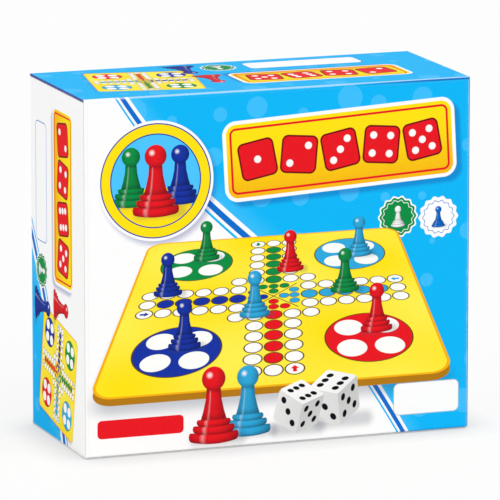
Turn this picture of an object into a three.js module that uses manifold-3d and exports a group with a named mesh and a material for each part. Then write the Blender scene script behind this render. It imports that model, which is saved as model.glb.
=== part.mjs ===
// A boxed ludo game. A tray of corrugated card stands on its long edge and is closed by a cover that
// hinges on the fold at the top and tucks in behind the bottom wall. A thermoformed insert inside it
// holds the board, a leaflet, four sets of pawns and two dice.
// Millimetres, +Z up, the cover faces -Y, and the origin is the middle of the carton's underside.

import * as THREE from 'three';
import { mergeVertices } from 'three/addons/utils/BufferGeometryUtils.js';
import { RoundedBoxGeometry } from 'three/addons/geometries/RoundedBoxGeometry.js';
import Module from 'manifold-3d';

const wasm = await Module();
wasm.setup();

// Carton
const CARTON_DEPTH = 114; // front of the cover to the back panel
const CARD = 1.6; // corrugated card
const SIDE_LAYERS = 2; // the side walls are rolled over into two layers
const FOLD_RADIUS = 2.4; // outside of the folds round the back panel
const COVER_FOLD_RADIUS = 1.2; // outside of the cover's two folds
const CREASE_GAP = 0.3; // between two panels that meet at a crease
const SEAM_WIDTH = 0.5; // cut line where two walls meet at a corner
const SEAM_DEPTH = 1.0;
const TAB_SLOT_LENGTH = 30; // slots in the back panel for the rolled walls' tabs
const TAB_SLOT_DEPTH = 0.8;
const TAB_SLOT_SPACING = 120;

// Tuck flap
const FLAP_REACH = 28;
const FLAP_CORNER_RADIUS = 16;
const FLAP_SLANT = THREE.MathUtils.degToRad(5); // rises away from the bottom wall
const FLAP_CREASE_GAP = 0.6;
const FLAP_SIDE_CLEARANCE = 1.5;
const FLAP_HEADROOM = 2.0; // below the insert

// Thermoformed insert
const SHEET = 1.0;
const COVER_CLEARANCE = 1.0; // deck to the cover's inner face
const INSERT_CLEARANCE = 0.6; // skirt to the carton's walls
const SKIRT_DRAFT = 3.6; // the skirt widens by this much on each side towards the back
const SKIRT_CORNER_RADIUS = 7;
const POCKET_DRAFT = Math.tan(THREE.MathUtils.degToRad(2));
const RIM_SIDE = 4.5; // deck beside the pockets
const RIM_END = 8.0; // deck above and below the board
const DIVIDER = 4.0; // deck between the board and the strip of wells
const BAY_GAP = 3.0; // least deck between two wells of the strip
const SEAT_GAP = 0.3;
const CUT_OVERLAP = 1.0; // how far a cutting solid passes the face that it cuts

// Board and leaflet
const BOARD_SIDE = 205;
const BOARD_CORNER_RADIUS = 12;
const CORE_THICKNESS = 2.6;
const PRINT_THICKNESS = 0.4;
const PRINT_MARGIN = 0.6;
const BOARD_CLEARANCE = 1.0;
const BOARD_SINK = 0.5; // print below the deck
const LEAFLET_WIDTH = 140;
const LEAFLET_HEIGHT = 196;
const LEAF = 0.3;
const LEAF_GAP = 0.2;

// Pawns
const PAWN_HEIGHT = 23;
const PAWN_FOOT = 16; // diameters
const PAWN_RING_2 = 13.8;
const PAWN_RING_3 = 11.4;
const PAWN_NECK_FOOT = 9.2;
const PAWN_NECK_TOP = 5.0;
const PAWN_HEAD = 7.7;
const PAWN_RING_STEP = 2.2; // height of one foot ring
const PAWN_RING_CHAMFER = 0.6;
const PAWN_CORE = 9.0; // cored underside
const PAWN_CORE_DEPTH = 5.5;
const PAWN_SEGMENTS = 16;
const HEAD_ROOM = 1.0; // a piece's front below the deck
const PIECE_GAP = 0.6; // between neighbours in a well
const PIECE_CLEARANCE = 0.3; // between a piece and the well's side

// Dice
const DIE = 14.5;
const DIE_ROUND = 1.6;
const PIP_DIAMETER = 2.7;
const PIP_DEPTH = 0.6;
const PIP_SPACING = 3.8;
const PIP_SIDES = 8; // facets round one pip
const DICE_FINGER_ROOM = 5.0;

// Finger scoop at the board's edge
const SCOOP_HEIGHT = 24;
const SCOOP_DEPTH = 14;
const SCOOP_REACH = 12; // under the board

// Facets
const FOLD_STEPS = 4; // in a quarter round of the card's folds
const CORNER_STEPS = 6; // in a quarter round of a pocket, board or flap corner
const HEAD_STEPS = 5; // from a pawn's neck to the top of its head
const DIE_ROUND_STEPS = 2;

// Finishes
const PRINTED_CARD = { color: 0xf4f4f2, roughness: 0.45 };
const GREY_CARD = { color: 0xb9b4aa, roughness: 0.8 };
const BOARD_PRINT = { color: 0xf2d800, roughness: 0.4 };
const LEAFLET_PAPER = { color: 0xfafafa, roughness: 0.7 };
const WHITE_SHEET = { color: 0xf1f1ee, roughness: 0.35 };
const DICE_PLASTIC = { color: 0xf7f7f5, roughness: 0.3 };
const PAWN_ROUGHNESS = 0.25;
const SETS = [
  { name: 'red', color: 0xd8101c },
  { name: 'green', color: 0x078c3f },
  { name: 'blue', color: 0x1236a4 },
  { name: 'sky', color: 0x2aa5d8 },
];

// Pockets of the insert. Widths and heights are at the floor, and mouths are at the deck.
const mouth = (size, depth) => size + 2 * depth * POCKET_DRAFT;
const wellDepth = HEAD_ROOM + PAWN_HEIGHT + SEAT_GAP;
const wellSide = 2 * PAWN_FOOT + PIECE_GAP + 2 * PIECE_CLEARANCE;
const diceDepth = HEAD_ROOM + DIE + SEAT_GAP;
const diceWidth = 2 * DIE + PIECE_GAP + 2 * PIECE_CLEARANCE;
const diceHeight = DIE + 2 * DICE_FINGER_ROOM;
const leafletThickness = 2 * LEAF + LEAF_GAP;
const boardThickness = CORE_THICKNESS + PRINT_THICKNESS;
const recessDepth = BOARD_SINK + boardThickness + leafletThickness + 2 * SEAT_GAP;
const recessSide = BOARD_SIDE + 2 * BOARD_CLEARANCE;
const recessMouth = mouth(recessSide, recessDepth);
const stripWidth = Math.max(mouth(wellSide, wellDepth), mouth(diceWidth, diceDepth));

// Bays of the strip, from the top down
const setBay = (set) => ({ set, height: mouth(wellSide, wellDepth) });
const bays = [
  { dice: true, height: mouth(diceHeight, diceDepth) },
  setBay(SETS[0]),
  setBay(SETS[1]),
  { scoop: true, height: mouth(SCOOP_HEIGHT, SCOOP_DEPTH) },
  setBay(SETS[2]),
  setBay(SETS[3]),
];
const bayHeights = bays.reduce((sum, bay) => sum + bay.height, 0);
const deckWidth = 2 * RIM_SIDE + recessMouth + DIVIDER + stripWidth;
const deckHeight = Math.max(recessMouth + 2 * RIM_END, bayHeights + (bays.length + 1) * BAY_GAP);

// Depths, from the cover back
const coverFront = -CARTON_DEPTH / 2;
const coverBack = coverFront + CARD;
const wallFront = coverBack + CREASE_GAP;
const deckY = coverBack + COVER_CLEARANCE;
const backPanel = CARTON_DEPTH / 2 - CARD;
const skirtBack = backPanel - SEAT_GAP;

// The insert's underside is lifted at the front by as much as the tuck flap needs.
const creaseZ = CARD + CREASE_GAP;
const flapStart = CARD + FLAP_CREASE_GAP;
const flapEnd = flapStart + FLAP_REACH;
const flapTop = creaseZ + flapEnd * Math.sin(FLAP_SLANT) + CARD * Math.cos(FLAP_SLANT);
const flapShare = (coverFront + flapEnd - deckY) / (skirtBack - deckY);
const skirtFloor = CARD + INSERT_CLEARANCE;
const skirtLift = (flapTop + FLAP_HEADROOM - skirtFloor) / (1 - flapShare);

const deckBottom = skirtFloor + skirtLift;
const deckTop = deckBottom + deckHeight;
const deckMiddle = (deckBottom + deckTop) / 2;
const skirtTop = deckTop + SKIRT_DRAFT;
const insideWidth = deckWidth + 2 * SKIRT_DRAFT + 2 * INSERT_CLEARANCE;
const cartonWidth = insideWidth + 2 * SIDE_LAYERS * CARD;
const cartonHeight = skirtTop + INSERT_CLEARANCE + CARD;

const boardX = -deckWidth / 2 + RIM_SIDE + recessMouth / 2;
const stripX = deckWidth / 2 - RIM_SIDE - stripWidth / 2;
const bayGap = (deckHeight - bayHeights) / (bays.length + 1);
let bayTop = deckTop;
for (const bay of bays) {
  bayTop -= bayGap;
  bay.z = bayTop - bay.height / 2;
  bayTop -= bay.height;
}

// Geometry helpers

function solid(geometry) {
  const bare = geometry.index ? geometry.toNonIndexed() : geometry.clone();
  bare.deleteAttribute('normal');
  bare.deleteAttribute('uv');
  const merged = mergeVertices(bare, 1e-4);
  const vertProperties = new Float32Array(merged.attributes.position.array);
  const triVerts = new Uint32Array(merged.index.array);
  return new wasm.Manifold(new wasm.Mesh({ numProp: 3, vertProperties, triVerts }));
}

function toGeometry(manifold) {
  const mesh = manifold.getMesh();
  const geometry = new THREE.BufferGeometry();
  geometry.setAttribute('position', new THREE.BufferAttribute(new Float32Array(mesh.vertProperties), 3));
  geometry.setIndex(new THREE.BufferAttribute(new Uint32Array(mesh.triVerts), 1));
  return geometry;
}

function block([x0, x1], [y0, y1], [z0, z1]) {
  const geometry = new THREE.BoxGeometry(x1 - x0, y1 - y0, z1 - z0);
  return geometry.translate((x0 + x1) / 2, (y0 + y1) / 2, (z0 + z1) / 2);
}

// A ring of points in the XZ plane, counter-clockwise as seen from the front.
function roundedRing(centreX, centreZ, width, height, radius) {
  const limit = Math.min(radius, width / 2, height / 2);
  const ring = [];
  for (let corner = 0; corner < 4; corner += 1) {
    const sideX = corner === 0 || corner === 3 ? 1 : -1;
    const sideZ = corner < 2 ? 1 : -1;
    for (let step = 0; step <= CORNER_STEPS; step += 1) {
      const angle = (corner + step / CORNER_STEPS) * (Math.PI / 2);
      const x = centreX + sideX * (width / 2 - limit) + limit * Math.cos(angle);
      const z = centreZ + sideZ * (height / 2 - limit) + limit * Math.sin(angle);
      ring.push(new THREE.Vector2(x, z));
    }
  }
  return ring;
}

// A closed solid between a front ring and a back ring with as many points.
function loft(front, back, yFront, yBack) {
  const count = front.length;
  const positions = [];
  front.forEach((point) => positions.push(point.x, yFront, point.y));
  back.forEach((point) => positions.push(point.x, yBack, point.y));
  const faces = [];
  for (let i = 0; i < count; i += 1) {
    const j = (i + 1) % count;
    faces.push(i, count + i, count + j, i, count + j, j);
  }
  THREE.ShapeUtils.triangulateShape(front, []).forEach(([a, b, c]) => faces.push(a, b, c));
  THREE.ShapeUtils.triangulateShape(back, []).forEach(([a, b, c]) => {
    faces.push(count + a, count + c, count + b);
  });
  const geometry = new THREE.BufferGeometry();
  geometry.setAttribute('position', new THREE.Float32BufferAttribute(positions, 3));
  geometry.setIndex(faces);
  return geometry;
}

// A prism along X whose section is a shape drawn with Y across and Z up.
function alongX(shape, width) {
  const options = { depth: width, bevelEnabled: false, curveSegments: FOLD_STEPS };
  const geometry = new THREE.ExtrudeGeometry(shape, options);
  const turn = new THREE.Matrix4().makeBasis(
    new THREE.Vector3(0, 1, 0),
    new THREE.Vector3(0, 0, 1),
    new THREE.Vector3(1, 0, 0),
  );
  return geometry.applyMatrix4(turn).translate(-width / 2, 0, 0);
}

// A square rod with a hollow quarter round, which rounds an edge along Z when it is cut away.
function edgeRounder(x, y, towardsX, radius, [z0, z1]) {
  const toRight = towardsX > 0;
  const centreX = x + towardsX * radius;
  const shape = new THREE.Shape();
  shape.moveTo(x - towardsX * CUT_OVERLAP, y - CUT_OVERLAP);
  shape.lineTo(centreX, y - CUT_OVERLAP);
  shape.lineTo(centreX, y);
  shape.absarc(centreX, y + radius, radius, -Math.PI / 2, toRight ? -Math.PI : 0, toRight);
  shape.lineTo(x - towardsX * CUT_OVERLAP, y + radius);
  const options = { depth: z1 - z0, bevelEnabled: false, curveSegments: FOLD_STEPS };
  return new THREE.ExtrudeGeometry(shape, options).translate(0, 0, z0);
}

// Carton

function boxTray() {
  const half = cartonWidth / 2;
  const plan = new THREE.Shape();
  plan.moveTo(-half, coverFront);
  plan.lineTo(half, coverFront);
  plan.lineTo(half, CARTON_DEPTH / 2 - FOLD_RADIUS);
  plan.absarc(half - FOLD_RADIUS, CARTON_DEPTH / 2 - FOLD_RADIUS, FOLD_RADIUS, 0, Math.PI / 2);
  plan.lineTo(-half + FOLD_RADIUS, CARTON_DEPTH / 2);
  plan.absarc(-half + FOLD_RADIUS, CARTON_DEPTH / 2 - FOLD_RADIUS, FOLD_RADIUS, Math.PI / 2, Math.PI);
  const options = { depth: cartonHeight, bevelEnabled: false, curveSegments: FOLD_STEPS };
  const upright = new THREE.ExtrudeGeometry(plan, options);

  const side = new THREE.Shape();
  side.moveTo(coverFront, 0);
  side.lineTo(CARTON_DEPTH / 2 - FOLD_RADIUS, 0);
  side.absarc(CARTON_DEPTH / 2 - FOLD_RADIUS, FOLD_RADIUS, FOLD_RADIUS, -Math.PI / 2, 0);
  side.lineTo(CARTON_DEPTH / 2, cartonHeight - FOLD_RADIUS);
  side.absarc(CARTON_DEPTH / 2 - FOLD_RADIUS, cartonHeight - FOLD_RADIUS, FOLD_RADIUS, 0, Math.PI / 2);
  side.lineTo(coverFront, cartonHeight);

  let tray = solid(upright).intersect(solid(alongX(side, cartonWidth + 2 * CUT_OVERLAP)));
  const across = [-half - CUT_OVERLAP, half + CUT_OVERLAP];
  const ahead = coverFront - CUT_OVERLAP;
  const inside = insideWidth / 2;
  const wallSpan = [CARD, cartonHeight - CARD];
  const cuts = [
    block([-inside, inside], [ahead, backPanel], wallSpan),
    block(across, [ahead, wallFront], [CARD, cartonHeight + CUT_OVERLAP]),
  ];
  for (const way of [-1, 1]) {
    const rollRadius = (half - inside) / 2;
    cuts.push(edgeRounder(way * half, wallFront, -way, rollRadius, wallSpan));
    cuts.push(edgeRounder(way * inside, wallFront, way, rollRadius, wallSpan));
    const skin = [way * (half - SEAM_DEPTH), way * (half + CUT_OVERLAP)].sort((a, b) => a - b);
    const seamDepths = [ahead, CARTON_DEPTH / 2 - FOLD_RADIUS];
    cuts.push(block(skin, seamDepths, [wallSpan[1] - SEAM_WIDTH, wallSpan[1]]));
    cuts.push(block(skin, seamDepths, [wallSpan[0], wallSpan[0] + SEAM_WIDTH]));
    const slot = [way * inside, way * (inside + CARD)].sort((a, b) => a - b);
    const slotDepths = [CARTON_DEPTH / 2 - TAB_SLOT_DEPTH, CARTON_DEPTH / 2 + CUT_OVERLAP];
    for (const end of [-1, 1]) {
      const slotZ = cartonHeight / 2 + (end * TAB_SLOT_SPACING) / 2;
      cuts.push(block(slot, slotDepths, [slotZ - TAB_SLOT_LENGTH / 2, slotZ + TAB_SLOT_LENGTH / 2]));
    }
  }
  for (const cut of cuts) {
    tray = tray.subtract(solid(cut));
  }
  return toGeometry(tray);
}

function cover() {
  const radius = COVER_FOLD_RADIUS;
  const section = new THREE.Shape();
  section.moveTo(coverBack, creaseZ);
  section.lineTo(coverBack, cartonHeight);
  section.lineTo(coverFront + radius, cartonHeight);
  section.absarc(coverFront + radius, cartonHeight - radius, radius, Math.PI / 2, Math.PI);
  section.lineTo(coverFront, creaseZ + radius);
  section.absarc(coverFront + radius, creaseZ + radius, radius, Math.PI, 1.5 * Math.PI);
  return alongX(section, cartonWidth);
}

function tuckFlap() {
  const half = insideWidth / 2 - FLAP_SIDE_CLEARANCE;
  const radius = FLAP_CORNER_RADIUS;
  const outline = new THREE.Shape();
  outline.moveTo(-half, flapStart);
  outline.lineTo(half, flapStart);
  outline.lineTo(half, flapEnd - radius);
  outline.absarc(half - radius, flapEnd - radius, radius, 0, Math.PI / 2);
  outline.lineTo(-half + radius, flapEnd);
  outline.absarc(-half + radius, flapEnd - radius, radius, Math.PI / 2, Math.PI);
  const options = { depth: CARD, bevelEnabled: false, curveSegments: CORNER_STEPS };
  return new THREE.ExtrudeGeometry(outline, options);
}

// Insert

// One pocket as two solids: the wall that is added to the sheet and the hollow that is cut from it.
function pocket(x, z, width, height, radius, depth) {
  const ring = (y, grow) => {
    const taper = 2 * (depth - (y - deckY)) * POCKET_DRAFT;
    return roundedRing(x, z, width + taper + 2 * grow, height + taper + 2 * grow, radius + grow);
  };
  const floor = deckY + depth;
  const wallTop = deckY + SHEET / 2;
  const hollowTop = deckY - CUT_OVERLAP;
  return {
    wall: loft(ring(wallTop, SHEET), ring(floor + SHEET, SHEET), wallTop, floor + SHEET),
    hollow: loft(ring(hollowTop, 0), ring(floor, 0), hollowTop, floor),
  };
}

// The drafted skirt, as a solid that is inset from the sheet's outer face.
function skirt(inset, yFront, yBack) {
  const width = deckWidth - 2 * inset;
  const radius = SKIRT_CORNER_RADIUS - inset;
  const front = roundedRing(0, deckMiddle, width, deckHeight - 2 * inset, radius);
  const backMiddle = (skirtFloor + skirtTop) / 2;
  const backHeight = skirtTop - skirtFloor - 2 * inset;
  const back = roundedRing(0, backMiddle, width + 2 * SKIRT_DRAFT, backHeight, radius);
  return loft(front, back, yFront, yBack);
}

function insertTray() {
  const scoopLeft = boardX + recessSide / 2 - SCOOP_REACH;
  const scoopRight = stripX + wellSide / 2;
  const boardPocket = pocket(boardX, deckMiddle, recessSide, recessSide, BOARD_CORNER_RADIUS, recessDepth);
  const pockets = [boardPocket];
  for (const bay of bays) {
    if (bay.set) {
      const lobe = PAWN_FOOT / 2 + PIECE_CLEARANCE;
      pockets.push(pocket(stripX, bay.z, wellSide, wellSide, lobe, wellDepth));
    } else if (bay.dice) {
      pockets.push(pocket(stripX, bay.z, diceWidth, diceHeight, DICE_FINGER_ROOM, diceDepth));
    } else {
      const scoopX = (scoopLeft + scoopRight) / 2;
      const scoopWidth = scoopRight - scoopLeft;
      pockets.push(pocket(scoopX, bay.z, scoopWidth, SCOOP_HEIGHT, SCOOP_HEIGHT / 2, SCOOP_DEPTH));
    }
  }
  let shell = solid(skirt(0, deckY, skirtBack));
  shell = shell.subtract(solid(skirt(SHEET, deckY + SHEET, skirtBack + CUT_OVERLAP)));
  for (const { wall } of pockets) {
    shell = shell.add(solid(wall));
  }
  for (const { hollow } of pockets) {
    shell = shell.subtract(solid(hollow));
  }
  return toGeometry(shell);
}

// Board and leaflet

const printFront = deckY + BOARD_SINK;
const coreFront = printFront + PRINT_THICKNESS;
const coreBack = coreFront + CORE_THICKNESS;
const leafletFront = coreBack + SEAT_GAP;

function boardLayer(margin, yFront, yBack) {
  const side = BOARD_SIDE - 2 * margin;
  const ring = roundedRing(boardX, deckMiddle, side, side, BOARD_CORNER_RADIUS - margin);
  return loft(ring, ring, yFront, yBack);
}

// Two leaves joined by a round fold along the left edge.
function leaflet() {
  const outer = leafletThickness / 2;
  const inner = LEAF_GAP / 2;
  const section = new THREE.Shape();
  section.moveTo(LEAFLET_WIDTH / 2, -outer);
  section.lineTo(LEAFLET_WIDTH / 2, -inner);
  section.lineTo(-LEAFLET_WIDTH / 2 + outer, -inner);
  section.absarc(-LEAFLET_WIDTH / 2 + outer, 0, inner, -Math.PI / 2, Math.PI / 2, true);
  section.lineTo(LEAFLET_WIDTH / 2, inner);
  section.lineTo(LEAFLET_WIDTH / 2, outer);
  section.lineTo(-LEAFLET_WIDTH / 2 + outer, outer);
  section.absarc(-LEAFLET_WIDTH / 2 + outer, 0, outer, Math.PI / 2, 1.5 * Math.PI);
  const options = { depth: LEAFLET_HEIGHT, bevelEnabled: false, curveSegments: CORNER_STEPS };
  const geometry = new THREE.ExtrudeGeometry(section, options);
  return geometry.translate(boardX, leafletFront + outer, deckMiddle - LEAFLET_HEIGHT / 2);
}

// Playing pieces

// Half a pawn's outline, from the top of its cored underside round to the top of its head.
function pawnProfile() {
  const points = [new THREE.Vector2(0, PAWN_CORE_DEPTH), new THREE.Vector2(PAWN_CORE / 2, 0)];
  const rings = [PAWN_FOOT, PAWN_RING_2, PAWN_RING_3];
  rings.forEach((diameter, index) => {
    points.push(new THREE.Vector2(diameter / 2, index * PAWN_RING_STEP));
    points.push(new THREE.Vector2(diameter / 2, (index + 1) * PAWN_RING_STEP - PAWN_RING_CHAMFER));
  });
  points.push(new THREE.Vector2(PAWN_NECK_FOOT / 2, rings.length * PAWN_RING_STEP));
  const headRadius = PAWN_HEAD / 2;
  const headCentre = PAWN_HEIGHT - headRadius;
  const start = Math.acos(Math.min(1, PAWN_NECK_TOP / PAWN_HEAD));
  for (let step = 0; step < HEAD_STEPS; step += 1) {
    const angle = -start + ((start + Math.PI / 2) * step) / HEAD_STEPS;
    const height = headCentre + headRadius * Math.sin(angle);
    points.push(new THREE.Vector2(headRadius * Math.cos(angle), height));
  }
  points.push(new THREE.Vector2(0, PAWN_HEIGHT));
  return points;
}

// Offsets of the pips of one face, in pip spacings.
function pipGrid(count) {
  const pips = count % 2 ? [[0, 0]] : [];
  if (count >= 2) pips.push([-1, 1], [1, -1]);
  if (count >= 4) pips.push([1, 1], [-1, -1]);
  if (count === 6) pips.push([-1, 0], [1, 0]);
  return pips;
}

// Opposite faces add up to seven. Each dimple is cut by a ball that dips into the face.
function die() {
  let body = solid(new RoundedBoxGeometry(DIE, DIE, DIE, DIE_ROUND_STEPS, DIE_ROUND));
  const ballRadius = ((PIP_DIAMETER / 2) ** 2 + PIP_DEPTH ** 2) / (2 * PIP_DEPTH);
  const ballOut = DIE / 2 + ballRadius - PIP_DEPTH;
  const faces = [
    { count: 1, turn: [0, 0, 0] },
    { count: 2, turn: [Math.PI / 2, 0, 0] },
    { count: 3, turn: [0, Math.PI / 2, 0] },
    { count: 4, turn: [0, -Math.PI / 2, 0] },
    { count: 5, turn: [-Math.PI / 2, 0, 0] },
    { count: 6, turn: [Math.PI, 0, 0] },
  ];
  for (const { count, turn } of faces) {
    for (const [across, up] of pipGrid(count)) {
      const ball = new THREE.SphereGeometry(ballRadius, PIP_SIDES, PIP_SIDES).rotateX(Math.PI / 2);
      ball.translate(across * PIP_SPACING, up * PIP_SPACING, ballOut);
      ball.applyMatrix4(new THREE.Matrix4().makeRotationFromEuler(new THREE.Euler(...turn)));
      body = body.subtract(solid(ball));
    }
  }
  return toGeometry(body);
}

// Assembly

const game = new THREE.Group();

function addMesh(name, geometry, finish, parent = game) {
  const material = new THREE.MeshStandardMaterial({ ...finish, metalness: 0 });
  const mesh = new THREE.Mesh(geometry, material);
  mesh.name = name;
  parent.add(mesh);
  return mesh;
}

addMesh('box_tray', boxTray(), PRINTED_CARD);
addMesh('cover', cover(), PRINTED_CARD);

const flapCrease = new THREE.Group();
flapCrease.position.set(0, coverFront, creaseZ);
flapCrease.rotation.x = FLAP_SLANT;
game.add(flapCrease);
addMesh('tuck_flap', tuckFlap(), PRINTED_CARD, flapCrease);

addMesh('insert_tray', insertTray(), WHITE_SHEET);
addMesh('board_core', boardLayer(0, coreFront, coreBack), GREY_CARD);
addMesh('board_sheet', boardLayer(PRINT_MARGIN, printFront, coreFront), BOARD_PRINT);
addMesh('rules_leaflet', leaflet(), LEAFLET_PAPER);

const pawn = new THREE.LatheGeometry(pawnProfile(), PAWN_SEGMENTS);
const pawnFootY = deckY + HEAD_ROOM + PAWN_HEIGHT;
const pawnPitch = PAWN_FOOT + PIECE_GAP;
for (const bay of bays.filter(({ set }) => set)) {
  const finish = { color: bay.set.color, roughness: PAWN_ROUGHNESS };
  for (let index = 0; index < 4; index += 1) {
    const mesh = addMesh(`pawn_${bay.set.name}_${index + 1}`, pawn, finish);
    const across = (index % 2) - 0.5;
    const up = 0.5 - Math.floor(index / 2);
    mesh.position.set(stripX + across * pawnPitch, pawnFootY, bay.z + up * pawnPitch);
    mesh.rotation.x = Math.PI; // heads to the front
  }
}

const dieGeometry = die();
const diceZ = bays.find(({ dice }) => dice).z;
[-1, 1].forEach((way, index) => {
  const mesh = addMesh(`die_${index + 1}`, dieGeometry, DICE_PLASTIC);
  mesh.position.set(stripX + (way * (DIE + PIECE_GAP)) / 2, deckY + HEAD_ROOM + DIE / 2, diceZ);
  mesh.rotation.z = index ? Math.PI / 2 : 0; // each shows its own number
});

export default game;
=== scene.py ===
"""Looks of a boxed ludo game, built round its CAD frame.

Lengths are metres in meshes and millimetres in prints. The cover faces -Y, +Z is up, and a panel's own
coordinates are u to the right and v up as the panel is seen from outside.
"""

import math

import bmesh
import bpy
import numpy as np
from bpy.props import FloatProperty, FloatVectorProperty, IntProperty, PointerProperty
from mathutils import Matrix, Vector


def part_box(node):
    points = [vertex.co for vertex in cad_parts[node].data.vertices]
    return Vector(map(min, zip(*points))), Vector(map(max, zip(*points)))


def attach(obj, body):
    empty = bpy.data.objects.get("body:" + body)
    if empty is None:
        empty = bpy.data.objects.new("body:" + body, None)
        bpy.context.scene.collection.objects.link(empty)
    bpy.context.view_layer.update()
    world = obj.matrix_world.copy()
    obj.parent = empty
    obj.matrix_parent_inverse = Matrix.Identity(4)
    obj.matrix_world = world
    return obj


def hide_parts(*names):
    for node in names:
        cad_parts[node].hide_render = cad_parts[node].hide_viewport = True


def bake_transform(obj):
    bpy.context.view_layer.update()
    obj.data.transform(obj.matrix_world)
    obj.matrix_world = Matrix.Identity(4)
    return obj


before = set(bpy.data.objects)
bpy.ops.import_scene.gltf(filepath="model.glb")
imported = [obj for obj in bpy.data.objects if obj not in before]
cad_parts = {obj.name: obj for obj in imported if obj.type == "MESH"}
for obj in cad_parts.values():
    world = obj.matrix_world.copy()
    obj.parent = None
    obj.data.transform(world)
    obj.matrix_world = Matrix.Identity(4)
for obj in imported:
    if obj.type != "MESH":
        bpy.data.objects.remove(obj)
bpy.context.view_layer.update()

bl_info = {
    "name": "Boxed ludo game",
    "version": (1, 0, 0),
    "blender": (4, 5, 0),
    "location": "View3D > Sidebar > Ludo",
    "description": "Builds a boxed ludo game round its CAD frame",
    "category": "Object",
}

MM = 0.001
TRAY_LOW, TRAY_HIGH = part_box("box_tray")
COVER_LOW, COVER_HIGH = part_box("cover")
BOARD_LOW, BOARD_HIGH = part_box("board_core")
WALL_MIDDLE = 0.5 * (TRAY_HIGH.z + TRAY_LOW.z) / MM
WALL_GAP = 0.3 * MM  # between the cover's inside and the front edges of the walls
NEAR = 0.1 * MM  # what is closer than this to an edge is taken as on it
LEVEL = 0.01 * MM  # what is lower than this lies on the floor
SAME = 1e-7  # metres within which two points are one
SETS = ("red", "green", "blue", "sky")
MEN = ("red", "green", "navy", "turquoise")  # printed men, by the carton's colours
BLACK = (0.0, 0.0, 0.0, 1.0)
WHITE = (1.0, 1.0, 1.0, 1.0)
PRINT_SHADOW = (0.03, 0.05, 0.10, 1.0)
COAT = {"Coat Weight": 0.2, "Coat Roughness": 0.1}


# Settings

def length(name, description, default):
    """A length in metres with its name and description."""
    return FloatProperty(name=name, description=description, default=default, unit="LENGTH", precision=5)


def amount(name, description, default):
    """A plain number with its name and description."""
    return FloatProperty(name=name, description=description, default=default)


def colour(name, description, red, green, blue):
    """A colour as it shows on screen, from three numbers of 0 to 255."""
    return FloatVectorProperty(
        name=name,
        description=description,
        default=(red / 255, green / 255, blue / 255),
        subtype="COLOR_GAMMA",
        min=0.0,
        max=1.0,
    )


class LudoCarton(bpy.types.PropertyGroup):
    """Sizes of the folded card and colours of its print."""

    card: length("Card", "Thickness of the corrugated card", 1.6 * MM)
    fold: length("Fold radius", "Outside radius of the folds round the back panel", 2.1 * MM)
    cover_fold: length("Cover fold radius", "Outside radius of the cover's folds", 1.8 * MM)
    roll: length("Roll radius", "Outside radius of the rolled front edge of a side wall", 1.7 * MM)
    crown: length("Crown", "How far the middle of the cover bows out", 0.5 * MM)
    crease_gap: length("Crease gap", "Between the cover's fold and the top wall", 0.05 * MM)
    slot_width: length("Slot width", "Width of the slots for the side walls' tabs", 1.4 * MM)
    slot_length: length("Slot length", "Length of those slots", 30.0 * MM)
    slot_spacing: length("Slot spacing", "Between the middles of two slots", 120.0 * MM)
    cut_edge: length("Cut edge radius", "Rounding of the card's cut edges", 0.35 * MM)
    crushed: length("Crushed rim", "Thickness of the bottom wall's front edge and ends", 0.5 * MM)
    rim_width: length("Rim width", "Width of that crushed rim", 4.0 * MM)
    rim_taper: length("Rim taper", "Over which the rim grows to the card's thickness", 6.0 * MM)
    seam: length("Seam", "Between the crushed rim and the cover and walls over it", 0.25 * MM)
    white: colour("White", "Unprinted ground of the carton", 252, 252, 252)
    sky: colour("Sky", "Main field of the print", 0, 182, 247)
    pale_sky: colour("Pale sky", "Bubbles on the field", 75, 196, 255)
    royal: colour("Royal blue", "Waves and outlines of the print", 0, 108, 205)
    yellow: colour("Yellow", "Boards, plates and rings of the print", 255, 226, 0)
    amber: colour("Amber", "Shaded side of the yellow", 246, 178, 0)
    red: colour("Red", "Dice and bar of the print", 232, 14, 26)
    green: colour("Green", "Badges of the print", 0, 140, 65)
    navy: colour("Navy", "Blue men and outlines of the print", 16, 48, 160)
    turquoise: colour("Turquoise", "Light blue men of the print", 44, 168, 220)
    liner: colour("Liner", "Inside of the card", 228, 225, 217)
    # Flute is the core's own brownish tone with painted shade: it darkens the hollows on the cut edge and the
    # faint stripes on the liner
    flute: colour("Flute", "Hollows in the card's cut edge", 176, 166, 148)


class LudoPieces(bpy.types.PropertyGroup):
    """Sizes and colours of the insert, the board and the playing pieces."""

    pawn_turns: IntProperty(name="Pawn turns", description="Points round a pawn", default=64, min=16)
    ring_round: length("Ring rounding", "Rounded upper edge of a pawn's foot rings", 0.7 * MM)
    die_cells: IntProperty(name="Die cells", description="Cells along a die's face", default=58, min=16)
    die_round: length("Die rounding", "Radius of a die's edges", 1.9 * MM)
    pip: length("Pip", "Diameter of a die's pips", 2.7 * MM)
    pip_depth: length("Pip depth", "Depth of a die's pips", 0.55 * MM)
    pip_spacing: length("Pip spacing", "Between the pips of a die", 3.8 * MM)
    insert_round: length("Insert rounding", "Rounded front edges of the formed insert", 0.9 * MM)
    insert_join: length("Insert join", "Shorter edges of the formed insert are drawn together", 0.7 * MM)
    board_corner: length("Board corner", "Radius of the board's corners", 12.0 * MM)
    print_margin: length("Print margin", "Between the board's edge and its printed sheet", 0.6 * MM)
    leaf: length("Leaf", "Thickness of one leaf of the leaflet", 0.3 * MM)
    red: colour("Red men", "Red pawns", 216, 16, 28)
    green: colour("Green men", "Green pawns", 4, 136, 60)
    blue: colour("Blue men", "Blue pawns", 18, 52, 164)
    sky: colour("Sky men", "Light blue pawns", 40, 164, 216)
    ivory: colour("Dice", "Dice", 244, 244, 240)
    ink: colour("Pips", "Paint in the pips", 18, 18, 20)
    insert: colour("Insert", "Formed sheet of the insert", 240, 241, 242)
    grey_board: colour("Grey board", "Core of the board", 178, 170, 156)
    paper: colour("Paper", "Leaflet", 246, 244, 238)


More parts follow.
